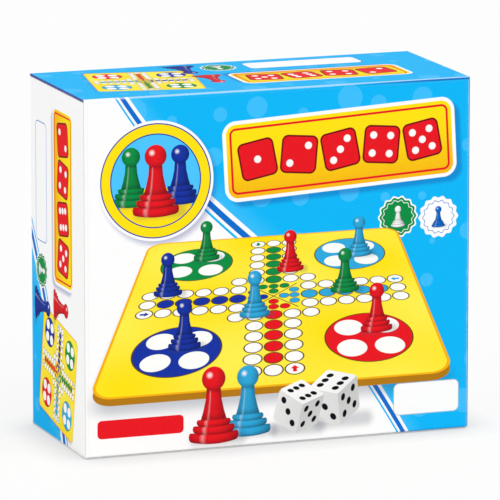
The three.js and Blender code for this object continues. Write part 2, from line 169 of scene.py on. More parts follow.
class LudoStage(bpy.types.PropertyGroup):
    """Camera, lamps and floor."""

    azimuth: amount("Azimuth", "Camera round the carton, in degrees", -20.06)
    elevation: amount("Elevation", "Camera above the horizon, in degrees", 11.27)
    distance: length("Distance", "Camera to what it looks at", 3.861)
    aim: FloatVectorProperty(
        name="Aim",
        description="Point in the middle of the picture",
        default=(0.0004, 0.0, 0.1204),
        unit="LENGTH",
    )
    lens: amount("Lens", "Focal length in millimetres", 415.5)
    sky_light: amount("Sky light", "Even light from all round", 0.64)
    key: amount("Key", "Strength of the soft lamp at the upper right", 1.20)
    fill: amount("Fill", "Strength of the soft lamp at the left", 0.58)
    floor: colour("Floor", "Studio floor", 249, 249, 249)
    floor_glow: amount("Floor glow", "Share of the floor's look that is white light", 0.8)
    floor_white: amount("Floor white", "Strength of that white light", 0.985)
    contact: length("Contact shadow", "Reach of the close shadow round what stands on the floor", 30.0 * MM)
    contact_depth: amount("Contact depth", "Depth of that close shadow", 0.45)


# Node trees: a term stands for a socket, and sums of terms add Math nodes

class Term:
    """A value on a socket. Sums, products and quotients of terms add Math nodes to its tree."""

    def __init__(self, socket):
        self.socket = socket

    def __add__(self, other):
        return calc("ADD", self, other)

    def __sub__(self, other):
        return calc("SUBTRACT", self, other)

    def __rsub__(self, other):
        return calc("SUBTRACT", other, self)

    def __mul__(self, other):
        return calc("MULTIPLY", self, other)

    def __truediv__(self, other):
        return calc("DIVIDE", self, other)

    def __rtruediv__(self, other):
        return calc("DIVIDE", other, self)

    __radd__ = __add__
    __rmul__ = __mul__


def tree_of(terms):
    """The node tree of the first term among plain numbers and terms."""
    return next(term.socket.id_data for term in terms if isinstance(term, Term))


def feed(socket, value):
    """Links a term to a socket, or sets a plain value on it."""
    if isinstance(value, Term):
        socket.id_data.links.new(value.socket, socket)
    else:
        socket.default_value = value


def added(kind, inputs, **fields):
    """A new node with its fields set and its inputs fed, by name or number. It goes into the tree of the
    terms among them."""
    node = tree_of(inputs.values()).nodes.new(f"ShaderNode{kind}")
    for name, value in fields.items():
        setattr(node, name, value)
    for name, value in inputs.items():
        feed(node.inputs[name], value)
    return node


def calc(operation, *terms):
    """One Math node."""
    return Term(added("Math", dict(enumerate(terms)), operation=operation).outputs[0])


def vector(operation, *terms):
    """One Vector Math node."""
    node = added("VectorMath", dict(enumerate(terms)), operation=operation)
    single = operation in ("LENGTH", "DISTANCE", "DOT_PRODUCT")
    return Term(node.outputs["Value" if single else "Vector"])


def split(point):
    """The three coordinates of a point, each as a product with an axis."""
    return [vector("DOT_PRODUCT", point, tuple(axis)) for axis in np.eye(3)]


def join(*values):
    """A point from its coordinates; a third one that isn't given is zero."""
    return Term(added("CombineXYZ", dict(enumerate(values))).outputs[0])


def turned(point, centre, degrees, scale=1.0):
    """The point from a centre, turned in its own plane and scaled."""
    away = vector("SUBTRACT", point, (*centre, 0.0))
    c = scale * math.cos(math.radians(degrees))
    s = scale * math.sin(math.radians(degrees))
    return join(vector("DOT_PRODUCT", away, (c, -s, 0.0)), vector("DOT_PRODUCT", away, (s, c, 0.0)))


def mixed(share, first, second):
    """The first colour at share 0, the second at 1."""
    return Term(added("Mix", {0: share, 6: first, 7: second}, data_type="RGBA").outputs[2])


def ramp(value, start, end):
    """A smooth step from 0 where a value is at start to 1 where it is at end."""
    inputs = {"Value": value, "From Min": start, "From Max": end}
    return Term(added("MapRange", inputs, interpolation_type="SMOOTHSTEP", clamp=False).outputs[0])


def curve(value, points):
    """A value looked up on a line through given points."""
    node = added("FloatCurve", {"Value": value})
    line = node.mapping.curves[0]
    for _ in range(len(points) - 2):
        line.points.new(0.5, 0.5)
    for knot, place in zip(line.points, points):
        knot.location = place
        knot.handle_type = "VECTOR"
    node.mapping.update()
    return Term(node.outputs[0])


def noise(point, scale, detail=2.0, roughness=0.5):
    """Smooth noise of 0 to 1 with features of about 1 / scale."""
    inputs = {"Vector": point, "Scale": scale, "Detail": detail, "Roughness": roughness}
    return Term(added("TexNoise", inputs).outputs[0])


def bump(height, strength, distance=MM):
    """A normal bent by a height field."""
    return Term(added("Bump", {"Height": height, "Strength": strength, "Distance": distance}).outputs[0])


def ink(shade):
    """A screen colour as a linear one with an alpha of 1."""
    linear = [c / 12.92 if c <= 0.04045 else ((c + 0.055) / 1.055) ** 2.4 for c in shade]
    return (*linear, 1.0)


def tint(name):
    """A colour of the carton's print, by its name."""
    return ink(getattr(bpy.context.scene.ludo_carton, name))


KINDS = {"Point": "NodeSocketVector", "Cell": "NodeSocketVector", "Colour": "NodeSocketColor"}
SURFACE = ("Colour", "Roughness", "Height")


def shader_group(inputs, outputs):
    """Makes a function of terms a shader node group, which is built once and then placed in the tree of the
    terms that it is called with. A socket's name gives its kind: one that isn't in KINDS is a number."""

    def wrap(make):
        """The function that stands for make."""

        def place(*values):
            """A node of the group, with its inputs fed in order, as the terms of its outputs."""
            group = bpy.data.node_groups.get(make.__name__)
            if group is None:
                group = bpy.data.node_groups.new(make.__name__, "ShaderNodeTree")
                for way, names in (("INPUT", inputs), ("OUTPUT", outputs)):
                    for name in names:
                        kind = KINDS.get(name, "NodeSocketFloat")
                        group.interface.new_socket(name, in_out=way, socket_type=kind)
                start = group.nodes.new("NodeGroupInput")
                results = make(*[Term(socket) for socket in start.outputs[: len(inputs)]])
                end = group.nodes.new("NodeGroupOutput")
                for socket, result in zip(end.inputs, results):
                    feed(socket, result)
            node = tree_of(values).nodes.new("ShaderNodeGroup")
            node.node_tree = group
            for socket, value in zip(node.inputs, values):
                feed(socket, value)
            return [Term(socket) for socket in node.outputs]

        return place

    return wrap


# Printed shapes: each gives the distance to its edge, negative inside

SOFT = 0.25  # millimetres over which a printed edge fades


def filled(distance, soft=SOFT):
    """1 inside a shape and 0 outside it."""
    return ramp(distance, 0.5 * soft, -0.5 * soft)


def over(paint, distance, shade, soft=SOFT):
    """Prints a shape over what is there, by the distance to its edge."""
    return mixed(filled(distance, soft), paint, shade)


def disc(point, centre, radius):
    """Distance to a circle's edge."""
    return vector("DISTANCE", point, (*centre, 0.0)) - radius


def plate(point, centre, half, corner):
    """Distance to the edge of a rectangle with round corners, level further inside than the corner radius."""
    away = vector("ABSOLUTE", vector("SUBTRACT", point, (*centre, 0.0)))
    beyond = vector("SUBTRACT", away, (half[0] - corner, half[1] - corner, 0.0))
    return vector("LENGTH", vector("MAXIMUM", beyond, (0.0, 0.0, 0.0))) - corner


def scallop(point, centre, radius, petals=14):
    """Distance to a round badge whose edge swings in and out as the cosine of petals times its angle."""
    u, v, _ = split(vector("SUBTRACT", point, (*centre, 0.0)))
    swing = calc("COSINE", calc("ARCTAN2", v, u) * float(petals)) * (0.05 * radius)
    return vector("DISTANCE", point, (*centre, 0.0)) - swing - radius


def between(value, low, high, soft=SOFT):
    """1 where a value lies between two limits."""
    return filled(calc("ABSOLUTE", value - 0.5 * (low + high)) - 0.5 * (high - low), soft)


def largest(*terms):
    """The greatest of several terms."""
    result = terms[0]
    for term in terms[1:]:
        result = calc("MAXIMUM", result, term)
    return result


def above(value, limit):
    """1 where a value is over a limit."""
    return calc("GREATER_THAN", value, limit)


@shader_group(("Point", "Centre", "Corners", "Diagonal", "Sides"), ("Mask",))
def pip_face(point, centre, corners, diagonal, sides):
    """Pips on a face of side 1: corner and side pips are folded on to one quarter of the face."""
    radius = 0.105
    soft = 0.03
    step = 0.26
    folded = vector("ABSOLUTE", point)
    corner = filled(vector("DISTANCE", folded, (step, step, 0.0)) - radius, soft)
    side = filled(vector("DISTANCE", folded, (step, 0.0, 0.0)) - radius, soft)
    middle = filled(vector("LENGTH", point) - radius, soft)
    a, b, _ = split(point)
    one_way = above(a * b, 0.0)
    return [largest(middle * centre, corner * corners, corner * one_way * diagonal, side * sides)]


def pips(count):
    """Which pips a face shows: in the middle, in all corners, in two corners, at the sides."""
    return (float(count % 2), float(count >= 4), float(2 <= count < 4), float(count == 6))


@shader_group(("Point", "Colour"), ("Colour", "Mask"))
def pawn_picture(point, shade):
    """A printed pawn one unit high: half its width is looked up by height, and the rings' edges hang as
    parabolas. It is shaded across as a turned shape, with a dark line under each ring."""
    soft = 0.012
    x, y, _ = split(point)
    level = y + 0.05 - x * x * 0.4
    rings = ((0.0, 0.13, 0.35), (0.13, 0.235, 0.295), (0.235, 0.325, 0.24))
    swing = np.linspace(0.0, math.pi, 9)
    outline = []
    for low, high, width in rings:
        levels = 0.5 * (low + high) - 0.498 * (high - low) * np.cos(swing)
        outline += list(zip(levels, width - 0.055 + 0.055 * np.sin(swing) ** 0.6))
    half = curve(level, outline + [(0.33, 0.18), (0.45, 0.145), (0.60, 0.112), (0.75, 0.10), (1.0, 0.0)])
    body = filled(calc("ABSOLUTE", x) - half, soft) * filled(level * -1.0, soft)
    head_radius = 0.165
    head = filled(disc(point, (0.0, 0.835), head_radius), soft)
    mask = calc("MAXIMUM", body, head)
    across = x / calc("MAXIMUM", half, head * head_radius)
    ring_tones = ((0.03, 0.42), (0.35, 0.80), (0.75, 1.0), (0.96, 0.78))
    tones = []
    for low, high, _ in rings:
        tones += [(low + share * (high - low), tone) for share, tone in ring_tones]
    neck = [(0.335, 0.48), (0.42, 0.80), (0.68, 0.86), (0.73, 0.5), (0.80, 0.88), (1.0, 1.0)]
    band = curve(level, tones + neck)
    dome = 1.08 - across * across * 0.5 - across * 0.12
    lit = mixed(dome * band, BLACK, shade)
    line = filled(calc("ABSOLUTE", across + 0.45) - 0.04, soft=0.26) * band * (1.0 - head) * 0.38
    spot = filled(disc(point, (-0.055, 0.885), 0.03), soft=0.06) * 0.85
    return [mixed(calc("MAXIMUM", line, spot), lit, WHITE), mask]


@shader_group(("Point",), ("Colour", "Mask"))
def die_picture(point):
    """A printed die whose near corner is at the origin: each face is a square between two slanted axes,
    and its own coordinates are sums of the point's coordinates."""
    left = np.array([-0.80, 0.30])
    right = np.array([0.58, 0.40])
    up = np.array([0.0, 0.88])
    x, y, _ = split(point)
    here = join(x, y, 1.0)
    faces = (
        (left, up, np.zeros(2), 0.74, 3),
        (right, up, np.zeros(2), 0.56, 5),
        (left, right, up, 0.93, 6),
    )
    result, mask = None, None
    for first, second, origin, grey, count in faces:
        inverse = np.linalg.inv(np.column_stack([first, second]))
        offset = -inverse @ origin - 0.5
        a = vector("DOT_PRODUCT", here, (*inverse[0], offset[0]))
        b = vector("DOT_PRODUCT", here, (*inverse[1], offset[1]))
        place = join(a, b)
        face = filled(plate(place, (0.0, 0.0), (0.51, 0.51), 0.09), soft=0.025)
        tone = grey * (1.0 + 0.10 * a) if first is left else grey * (1.06 - 0.12 * b)
        side = mixed(tone, BLACK, WHITE)
        paint = mixed(pip_face(place, *pips(count))[0], side, BLACK)
        result = paint if result is None else mixed(face, result, paint)
        mask = face if mask is None else calc("MAXIMUM", mask, face)
    return [result, mask]


@shader_group(("Cell", "Yard", "Yard radius"), ("Colour",))
def ludo_track(cell, yard, yard_radius):
    """A ludo board in cells of its track, from the middle of the board. Four arms of three by six circles
    are one arm in turned coordinates, s across it and t out along it, and a yard lies between two arms."""
    red, green, navy, sky = (tint(name) for name in MEN)
    white = ink((0.99, 0.99, 0.98))
    outline = ink((0.36, 0.24, 0.05))
    x, y, _ = split(cell)
    lying = above(calc("ABSOLUTE", x), calc("ABSOLUTE", y))
    sign_x = calc("SIGN", x)
    sign_y = calc("SIGN", y)
    s = lying * (sign_x * y) - (1.0 - lying) * (sign_y * x)
    t = calc("MAXIMUM", calc("ABSOLUTE", x), calc("ABSOLUTE", y))
    arm_colour = mixed(lying, mixed(above(y, 0.0), red, green), mixed(above(x, 0.0), navy, sky))

    glow = calc("SINE", x * 0.55 + y * 0.21 + 0.6) * calc("SINE", y * 0.48 - x * 0.17 + 0.9) * 0.5 + 0.5
    ground = mixed(glow, tint("yellow"), ink((1.0, 0.94, 0.30)))

    shade = mixed(above(y, 0.0), mixed(above(x, 0.0), navy, red), mixed(above(x, 0.0), green, sky))
    quarter = vector("SUBTRACT", vector("ABSOLUTE", cell), join(yard, yard))
    reach = vector("LENGTH", quarter)
    hole = vector("DISTANCE", vector("ABSOLUTE", quarter), join(yard_radius * 0.43, yard_radius * 0.43))
    soft = 0.035
    ground = over(ground, reach - yard_radius - 0.07, outline, soft)
    ground = over(ground, reach - yard_radius, shade, soft)
    ground = over(ground, hole - yard_radius * 0.34, white, soft)

    near_s = calc("ROUND", s)
    near_t = calc("ROUND", t)
    side = calc("ABSOLUTE", near_s)
    arm = above(1.5, side) * above(near_t, 1.5) * above(7.5, near_t)
    inner = above(side, 1.5) * above(2.5, calc("MAXIMUM", side, near_t))
    on_track = calc("MAXIMUM", arm, inner)
    from_middle = vector("LENGTH", join(s - near_s, t - near_t))
    lane = above(0.5, side) * above(6.5, near_t)
    ground = mixed(filled(from_middle - 0.485, soft) * on_track, ground, outline)
    ground = mixed(filled(from_middle - 0.415, soft) * on_track, ground, mixed(lane, white, arm_colour))

    start = above(near_s, 0.5) * above(near_t, 6.5) * on_track
    tip = t - near_t + 0.26
    sideways = calc("ABSOLUTE", s - near_s)
    head = filled(sideways - tip * 0.9, soft) * above(0.24, tip) * above(tip, 0.0)
    stem = filled(sideways - 0.09, soft) * above(tip, 0.2) * above(0.5, tip)
    ground = mixed(calc("MAXIMUM", head, stem) * start, ground, arm_colour)

    here = join(s, t)
    folded = join(calc("ABSOLUTE", s), t)
    outer = vector("DISTANCE", here, (0.0, 1.16, 0.0))
    beside = vector("DISTANCE", folded, (0.62, 1.16, 0.0))
    inmost = vector("DISTANCE", here, (0.0, 0.58, 0.0))
    home = calc("MINIMUM", calc("MINIMUM", beside, outer), inmost)
    ground = over(ground, home - 0.29, outline, soft)
    ground = over(ground, home - 0.25, arm_colour, soft)
    line = filled(calc("ABSOLUTE", calc("ABSOLUTE", s) - t) - 0.045, soft) * above(1.35, t)
    return [mixed(line, ground, outline)]


@shader_group(("Point", "Level", "Slope", "Swell", "Side"), ("Colour",))
def carton_ground(point, level, slope, swell, side):
    """Sky with paler bubbles over a wavy crest, level plus slope times u plus a sine of u, and white with
    two thin waves under it. Bubbles are discs in square cells of 30 mm; a cell's own number, the fraction
    of a large sine of its place, sets the radius and how far the disc is off the middle."""
    u, v, _ = split(point)
    crest = level + slope * u + swell * calc("SINE", u * (1.0 / 40.0) + 0.6)
    height = (v - crest) * side
    size = 30.0
    place = vector("MULTIPLY", point, (1.0 / size, 1.0 / size, 1.0))
    corner = vector("FLOOR", place)
    wild = calc("SINE", vector("DOT_PRODUCT", corner, (12.99, 78.23, 0.0))) * 437.58
    first = calc("FRACT", wild)
    other = calc("FRACT", wild * 7.3)
    middle = join(first * 0.36 + 0.32, other * 0.36 + 0.32)
    away = vector("DISTANCE", vector("SUBTRACT", place, corner), middle)
    bubble = filled(away - (other * 0.24 + 0.06), soft=0.012)
    sky = mixed(bubble * 0.6, tint("sky"), tint("pale_sky"))
    sky = mixed(filled(height - 9.0, soft=26.0) * 0.55, sky, tint("pale_sky"))
    paint = mixed(between(height, -9.5, -4.0), tint("white"), tint("royal"))
    paint = mixed(between(height, -14.5, -12.3), paint, tint("sky"))
    return [over(paint, height * -1.0, sky)]


FLUTE = 3.2  # millimetres from one flute of the card to the next


def flute_wave(along):
    """A wave of 0 to 1 with a crest at each flute."""
    return calc("SINE", along * (2.0 * math.pi / FLUTE)) * 0.5 + 0.5


@shader_group(("Point", "Edge", "Colour"), SURFACE)
def printed_card(point, edge, paint):
    """Varnished print on fluted card: ink mottle, faint flutes that show through, a pale rubbed line along
    each edge and a creased line just inside it, which the bump sinks and painted shade darkens. Edge is
    the distance to the carton's nearest edge."""
    x, y, _ = split(point)
    mottle = noise(point, scale=0.9, detail=3.0)
    flutes = flute_wave(x + y)
    rub = filled(edge + mottle * 0.8 - 1.25, soft=0.9) * 0.45
    # painted shade: the creased line just inside each edge is darkened in colour as well as sunk by the bump
    crease_and_shade = between(edge, 2.1, 2.5, soft=0.5) * 0.10
    shade = mixed(mottle * 0.045, paint, (0.30, 0.34, 0.40, 1.0))
    shade = mixed(crease_and_shade, shade, (0.25, 0.27, 0.30, 1.0))
    shade = mixed(rub, shade, (0.93, 0.93, 0.92, 1.0))
    roughness = mottle * 0.10 + rub * 0.25 + 0.30
    return [shade, roughness, flutes * 0.10 + mottle * 0.05 - crease_and_shade]


@shader_group(("Point", "Colour"), SURFACE)
def paper_fibre(point, paint):
    """Uncoated paper: short fibres as stretched noise, with specks of a darker tone."""
    fibre = noise(vector("MULTIPLY", point, (0.5, 2.6, 2.6)), scale=1.6, detail=4.0, roughness=0.65)
    speck = above(noise(point, scale=2.4, detail=1.0), 0.70)
    shade = mixed(fibre * 0.16, paint, (0.42, 0.38, 0.32, 1.0))
    shade = mixed(speck * 0.10, shade, (0.30, 0.26, 0.20, 1.0))
    return [shade, fibre * 0.15 + 0.72, fibre * 0.4]


@shader_group(("Point", "Colour"), SURFACE)
def moulded_plastic(point, paint):
    """Moulded plastic: a faint cloudiness in the colour and a fine orange peel."""
    cloud = noise(point, scale=0.12, detail=2.0)
    peel = noise(point, scale=1.4, detail=2.0)
    shade = mixed(cloud * 0.10, paint, (0.02, 0.02, 0.03, 1.0))
    return [shade, cloud * 0.10 + peel * 0.06 + 0.16, peel]


# Materials

def material(name, make, bends=False, **values):
    """A material whose Principled shader takes what make gives, by socket, and plain values as they are.
    make is called with the place in millimetres: Object coordinates or, on a piece that bends, the places at
    rest that the piece keeps as an attribute."""
    made = bpy.data.materials.new(name)
    made.use_nodes = True
    tree = made.node_tree
    tree.nodes.clear()
    where = tree.nodes.new("ShaderNodeAttribute" if bends else "ShaderNodeTexCoord")
    if bends:
        where.attribute_name = "rest_place"
    place = vector("MULTIPLY", Term(where.outputs["Vector" if bends else "Object"]), (1.0 / MM,) * 3)
    sockets = make(place)
    shader = tree.nodes.new("ShaderNodeBsdfPrincipled")
    for name, value in {**sockets, **values}.items():
        feed(shader.inputs[name], value)
    output = tree.nodes.new("ShaderNodeOutputMaterial")
    tree.links.new(shader.outputs[0], output.inputs["Surface"])
    return made


def seen_directly(tree):
    """1 for what the lens, a gloss or a clear piece shows, and 0 for light that bounces."""
    path = tree.nodes.new("ShaderNodeLightPath")
    return largest(*[Term(path.outputs[f"Is {ray} Ray"]) for ray in ("Camera", "Glossy", "Transmission")])


def whitened(surface, stage):
    """Shows a floor as partly white light, which dims close to what stands on the floor. That light doesn't
    fall on anything."""
    tree = surface.node_tree
    output = tree.get_output_node("ALL")
    plain = output.inputs["Surface"].links[0].from_socket
    near = tree.nodes.new("ShaderNodeAmbientOcclusion")
    near.inputs["Distance"].default_value = stage.contact
    light = tree.nodes.new("ShaderNodeEmission")
    dimmed = Term(near.outputs["AO"]) * stage.contact_depth + (1.0 - stage.contact_depth)
    feed(light.inputs["Strength"], dimmed * stage.floor_white)
    both = tree.nodes.new("ShaderNodeMixShader")
    feed(both.inputs[0], seen_directly(tree) * stage.floor_glow)
    tree.links.new(plain, both.inputs[1])
    tree.links.new(light.outputs[0], both.inputs[2])
    tree.links.new(both.outputs[0], output.inputs["Surface"])
    surface.cycles.emission_sampling = "NONE"


def dressed(surface, strength):
    """Sockets of the Principled shader from a group's colour, roughness and height."""
    shade, roughness, height = surface
    return {"Base Color": shade, "Roughness": roughness, "Normal": bump(height, strength)}


def edge_distance(place, panel):
    """Distance to the nearest rubbed edge. The cover is rubbed along its sides and its upper fold, the top
    wall along that fold, and another panel along each edge of the carton's box, to which the distance is the
    second smallest of the distances to its faces."""
    x, y, z = split(place)
    width = 0.5 * (TRAY_HIGH.x - TRAY_LOW.x) / MM
    depth = COVER_LOW.y / MM * -1.0
    if panel == "cover":
        return calc("MINIMUM", width - calc("ABSOLUTE", x), COVER_HIGH.z / MM - z)
    if panel == "top":
        return y + depth
    a = width - calc("ABSOLUTE", x)
    b = depth - calc("ABSOLUTE", y)
    c = WALL_MIDDLE - calc("ABSOLUTE", z - WALL_MIDDLE)
    return calc("MAXIMUM", calc("MINIMUM", a, b), calc("MINIMUM", calc("MAXIMUM", a, b), c))


def place_pawn(paint, point, foot, height, shade, clip=None):
    """Prints a pawn that stands on a foot point over what is there."""
    size = 1.0 / height
    local = vector("MULTIPLY", vector("SUBTRACT", point, (*foot, 0.0)), (size, size, 1.0))
    under = (foot[0] + 0.06 * height, foot[1] + 0.02 * height)
    shadow = plate(point, under, (0.4 * height, 0.09 * height), 0.09 * height)
    dark = filled(shadow, soft=0.12 * height) * 0.30
    picture, mask = pawn_picture(local, shade)
    if clip is not None:
        mask = mask * clip
        dark = dark * clip
    return mixed(mask, mixed(dark, paint, PRINT_SHADOW), picture)


def place_die(paint, point, foot, size, degrees):
    """Prints a slanted view of a die, turned about its near corner."""
    scale = 1.0 / size
    under = (foot[0] + 0.05 * size, foot[1] + 0.16 * size)
    shadow = filled(plate(point, under, (0.85 * size, 0.2 * size), 0.2 * size), soft=0.3 * size)
    picture, mask = die_picture(turned(point, foot, degrees, scale))
    return mixed(mask, mixed(shadow * 0.35, paint, PRINT_SHADOW), picture)


def place_title(paint, point, centre, half, counts, degrees=0.0):
    """Prints a yellow plate with a white border, a red keyline and a row of red die faces."""
    local = turned(point, centre, degrees)
    border = 0.09 * half[1]
    shadow = plate(local, (1.5 * border, -1.5 * border), half, 0.35 * half[1])
    paint = mixed(filled(shadow, soft=4.0) * 0.45, paint, tint("navy"))
    edge = plate(local, (0.0, 0.0), half, 0.35 * half[1])
    _, v, _ = split(local)
    fade = ramp(v, 0.7 * half[1], -1.3 * half[1])
    yellow = mixed(fade, tint("yellow"), tint("amber"))
    paint = over(paint, edge, tint("white"))
    paint = over(paint, edge + border, yellow)
    paint = mixed(between(edge, -2.6 * border, -2.0 * border), paint, tint("red"))
    step = 2.0 * (half[0] - 0.34 * half[1]) / len(counts)
    size = min(0.50 * half[1], 0.40 * step)
    for index, count in enumerate(counts):
        middle = ((index - 0.5 * (len(counts) - 1)) * step, 0.0)
        unit = turned(local, middle, 8.0 if index % 2 else -8.0, 0.5 / size)
        face = plate(unit, (0.0, 0.0), (0.5, 0.5), 0.14)
        soft = SOFT * 0.5 / size
        paint = over(paint, face - 0.05, ink((0.45, 0.0, 0.03)), soft)
        paint = over(paint, face, tint("red"), soft)
        paint = mixed(pip_face(unit, *pips(count))[0], paint, tint("white"))
    return paint


def place_label(paint, point, centre, half, rim, corner=4.0, width=0.6):
    """Prints a bare white label with a rim of some width."""
    edge = plate(point, centre, half, corner)
    paint = over(paint, edge - width, rim)
    return over(paint, edge, tint("white"))


def place_badge(paint, point, centre, radius, fill, symbol):
    """Prints a scalloped badge with a white rim and a pawn on it."""
    edge = scallop(point, centre, radius)
    paint = over(paint, edge - 0.09 * radius, tint("white"))
    paint = over(paint, edge, fill)
    paint = mixed(between(edge, -0.17 * radius, -0.13 * radius), paint, symbol)
    foot = (centre[0], centre[1] - 0.52 * radius)
    return place_pawn(paint, point, foot, 1.1 * radius, symbol)


STRAIGHT_HALF = 7.95  # cells from the middle of a straight board to its side
STRAIGHT_YARD = (4.75, 2.15)  # how far out a yard's middle is each way, and its radius, in cells
SLANTED_YARD = (3.45, 1.5)  # the same on a board whose track is slanted
SLANTED_CELLS = 18.9  # cells along that board's diagonal


def place_flat_board(paint, point, centre, half, degrees=0.0):
    """Prints a ludo board in plan, turned in its plane, with a soft shadow."""
    corner = 0.8
    cell = turned(point, centre, degrees, STRAIGHT_HALF / half)
    size = (STRAIGHT_HALF, STRAIGHT_HALF)
    soft = SOFT * STRAIGHT_HALF / half
    shadow = filled(plate(cell, (0.25, -0.4), size, corner), soft=1.0) * 0.4
    paint = mixed(shadow, paint, tint("navy"))
    edge = plate(cell, (0.0, 0.0), size, corner)
    board = over(tint("amber"), edge + 0.16, ludo_track(cell, *STRAIGHT_YARD)[0], soft)
    return over(paint, edge, board, soft)


class TableBoard:
    """A board that lies on a table, seen from the front: half its width falls evenly with height in the
    picture, and the way back along it is the inverse of that."""

    def __init__(self, middle, near, far, near_half, far_half):
        self.middle = middle
        self.near, self.far = near, far
        self.near_half, self.far_half = near_half, far_half
        self.mean = 0.5 * (1.0 / near_half + 1.0 / far_half)
        self.swing = 0.5 * (1.0 / far_half - 1.0 / near_half)

    def cell(self, point, drop=0.0):
        """Cells of the track at a point of the picture; drop moves the board down."""
        u, v, _ = split(point)
        fall = (self.far_half - self.near_half) / (self.far - self.near)
        half = calc("MULTIPLY_ADD", v + (drop - self.near), fall, self.near_half)
        across = (u - self.middle) / half * STRAIGHT_HALF
        back = (1.0 / half - self.mean) * (STRAIGHT_HALF / self.swing)
        return join(across, back)

    def stand(self, across, back):
        """Picture point and scale of a place on the board that is given in cells."""
        half = 1.0 / (self.mean + back / STRAIGHT_HALF * self.swing)
        share = (half - self.near_half) / (self.far_half - self.near_half)
        u = self.middle + across / STRAIGHT_HALF * half
        return (u, self.near + share * (self.far - self.near)), half / self.near_half

    def print(self, paint, point):
        """Prints the board over what is there, with its thickness and a soft shadow."""
        size = (STRAIGHT_HALF + 0.3, STRAIGHT_HALF + 0.3)
        corner, soft = 1.1, 0.03
        thickness, fall = 4.6, 11.0
        shadow = filled(plate(self.cell(point, fall), (0.0, 0.0), size, corner), soft=1.3) * 0.42
        paint = mixed(shadow, paint, (0.02, 0.06, 0.16, 1.0))
        side = filled(plate(self.cell(point, thickness), (0.0, 0.0), size, corner), soft)
        paint = mixed(side, paint, ink((0.70, 0.47, 0.02)))
        cell = self.cell(point)
        edge = plate(cell, (0.0, 0.0), size, corner)
        paint = over(paint, edge, tint("amber"), soft)
        track = ludo_track(cell, *STRAIGHT_YARD)[0]
        return over(paint, edge + 0.14, track, soft)


def cover_art(point):
    """The front print, in u and v from the middle of the carton's lower front edge: a ring with three men, a
    title plate, badges, a board on a table with men and dice, a bar and a bare label."""
    red, green, navy, turquoise = (tint(name) for name in MEN)
    white = tint("white")
    level, slope, swell, side = 118.0, -1.3, 16.0, 1.0
    paint = carton_ground(point, level, slope, swell, side)[0]

    ring = (-86.0, 183.0)
    shadow = disc(point, (ring[0] + 2.0, ring[1] - 3.0), 40.0)
    paint = mixed(filled(shadow, soft=6.0) * 0.45, paint, navy)
    for radius, name in ((40.0, "white"), (38.2, "navy"), (37.4, "yellow"), (31.4, "navy")):
        paint = over(paint, disc(point, ring, radius), tint(name))
    window = filled(disc(point, ring, 30.6))
    paint = mixed(window, paint, tint("pale_sky"))
    hill = filled(disc(point, (ring[0], ring[1] - 34.0), 30.0))
    paint = mixed(window * hill, paint, tint("yellow"))
    trio = ((-17.0, -15.0, 38.0, green), (17.0, -15.0, 38.0, navy), (0.0, -22.0, 46.0, red))
    for across, up, height, shade in trio:
        foot = (ring[0] + across, ring[1] + up)
        paint = place_pawn(paint, point, foot, height, shade, clip=window)

    faces = (1, 2, 3, 4, 5)
    paint = place_title(paint, point, centre=(43.0, 196.0), half=(82.0, 27.0), counts=faces, degrees=-3.0)
    paint = place_badge(paint, point, centre=(84.0, 148.0), radius=12.5, fill=green, symbol=white)
    paint = place_badge(paint, point, centre=(113.0, 146.0), radius=12.5, fill=white, symbol=tint("royal"))

    table = TableBoard(middle=-4.0, near=42.0, far=140.0, near_half=124.0, far_half=84.0)
    paint = table.print(paint, point)
    standing = (
        (-4.2, 5.3, green), (5.3, 4.4, turquoise), (1.0, 3.0, red), (-6.0, 1.0, navy),
        (4.0, 0.0, green), (-1.0, -2.0, turquoise), (5.2, -4.3, red), (-4.4, -4.6, navy),
    )
    for across, back, shade in standing:
        foot, scale = table.stand(across, back)
        paint = place_pawn(paint, point, foot, height=36.0 * scale, shade=shade)
    paint = place_die(paint, point, foot=(44.0, 9.0), size=25.0, degrees=-6.0)
    paint = place_die(paint, point, foot=(12.0, 6.0), size=23.0, degrees=14.0)
    paint = place_pawn(paint, point, foot=(-22.0, 9.0), height=46.0, shade=turquoise)
    paint = place_pawn(paint, point, foot=(-46.0, 6.0), height=50.0, shade=red)

    bar = plate(point, (-97.0, 19.0), (30.0, 6.2), 3.0)
    paint = over(paint, bar, red)
    grey = ink((0.72, 0.76, 0.80))
    return place_label(paint, point, centre=(105.0, 23.5), half=(23.0, 10.5), rim=grey, corner=3.5, width=0.5)


@shader_group(("Point", "Level", "Slope", "Side"), ("Colour",))
def wall_art(point, level, slope, side):
    """The print of a wall, from the wall's middle: title plate, bare label, badge, board and men."""
    swell = 7.0
    paint = carton_ground(point, level, slope, swell, side)[0]
    paint = place_title(paint, point, centre=(-46.0, 12.0), half=(60.0, 21.0), counts=(2, 4, 6, 5))
    paint = place_label(paint, point, centre=(-50.0, -34.0), half=(40.0, 11.0), rim=tint("royal"))
    green, white = tint("green"), tint("white")
    paint = place_badge(paint, point, centre=(10.0, -34.0), radius=11.0, fill=green, symbol=white)
    paint = place_flat_board(paint, point, centre=(74.0, 0.0), half=36.0, degrees=10.0)
    paint = place_pawn(paint, point, foot=(28.0, -8.0), height=30.0, shade=tint("red"))
    return [place_pawn(paint, point, foot=(34.0, -48.0), height=32.0, shade=tint("navy"))]


def back_art(point):
    """The back print, from the panel's middle: title plate, board in plan, men, die and bare label."""
    level, slope, swell, side = -40.0, 0.34, 9.0, 1.0
    paint = carton_ground(point, level, slope, swell, side)[0]
    paint = place_title(paint, point, centre=(0.0, 88.0), half=(92.0, 22.0), counts=(6, 5, 4, 3, 2))
    paint = place_flat_board(paint, point, centre=(-50.0, -10.0), half=66.0)
    for index, name in enumerate(MEN):
        foot = (48.0 + 34.0 * (index % 2), 8.0 - 46.0 * (index // 2))
        paint = place_pawn(paint, point, foot, height=36.0, shade=tint(name))
    paint = place_die(paint, point, foot=(60.0, -86.0), size=24.0, degrees=-4.0)
    return place_label(paint, point, centre=(-60.0, -98.0), half=(52.0, 10.0), rim=tint("royal"))


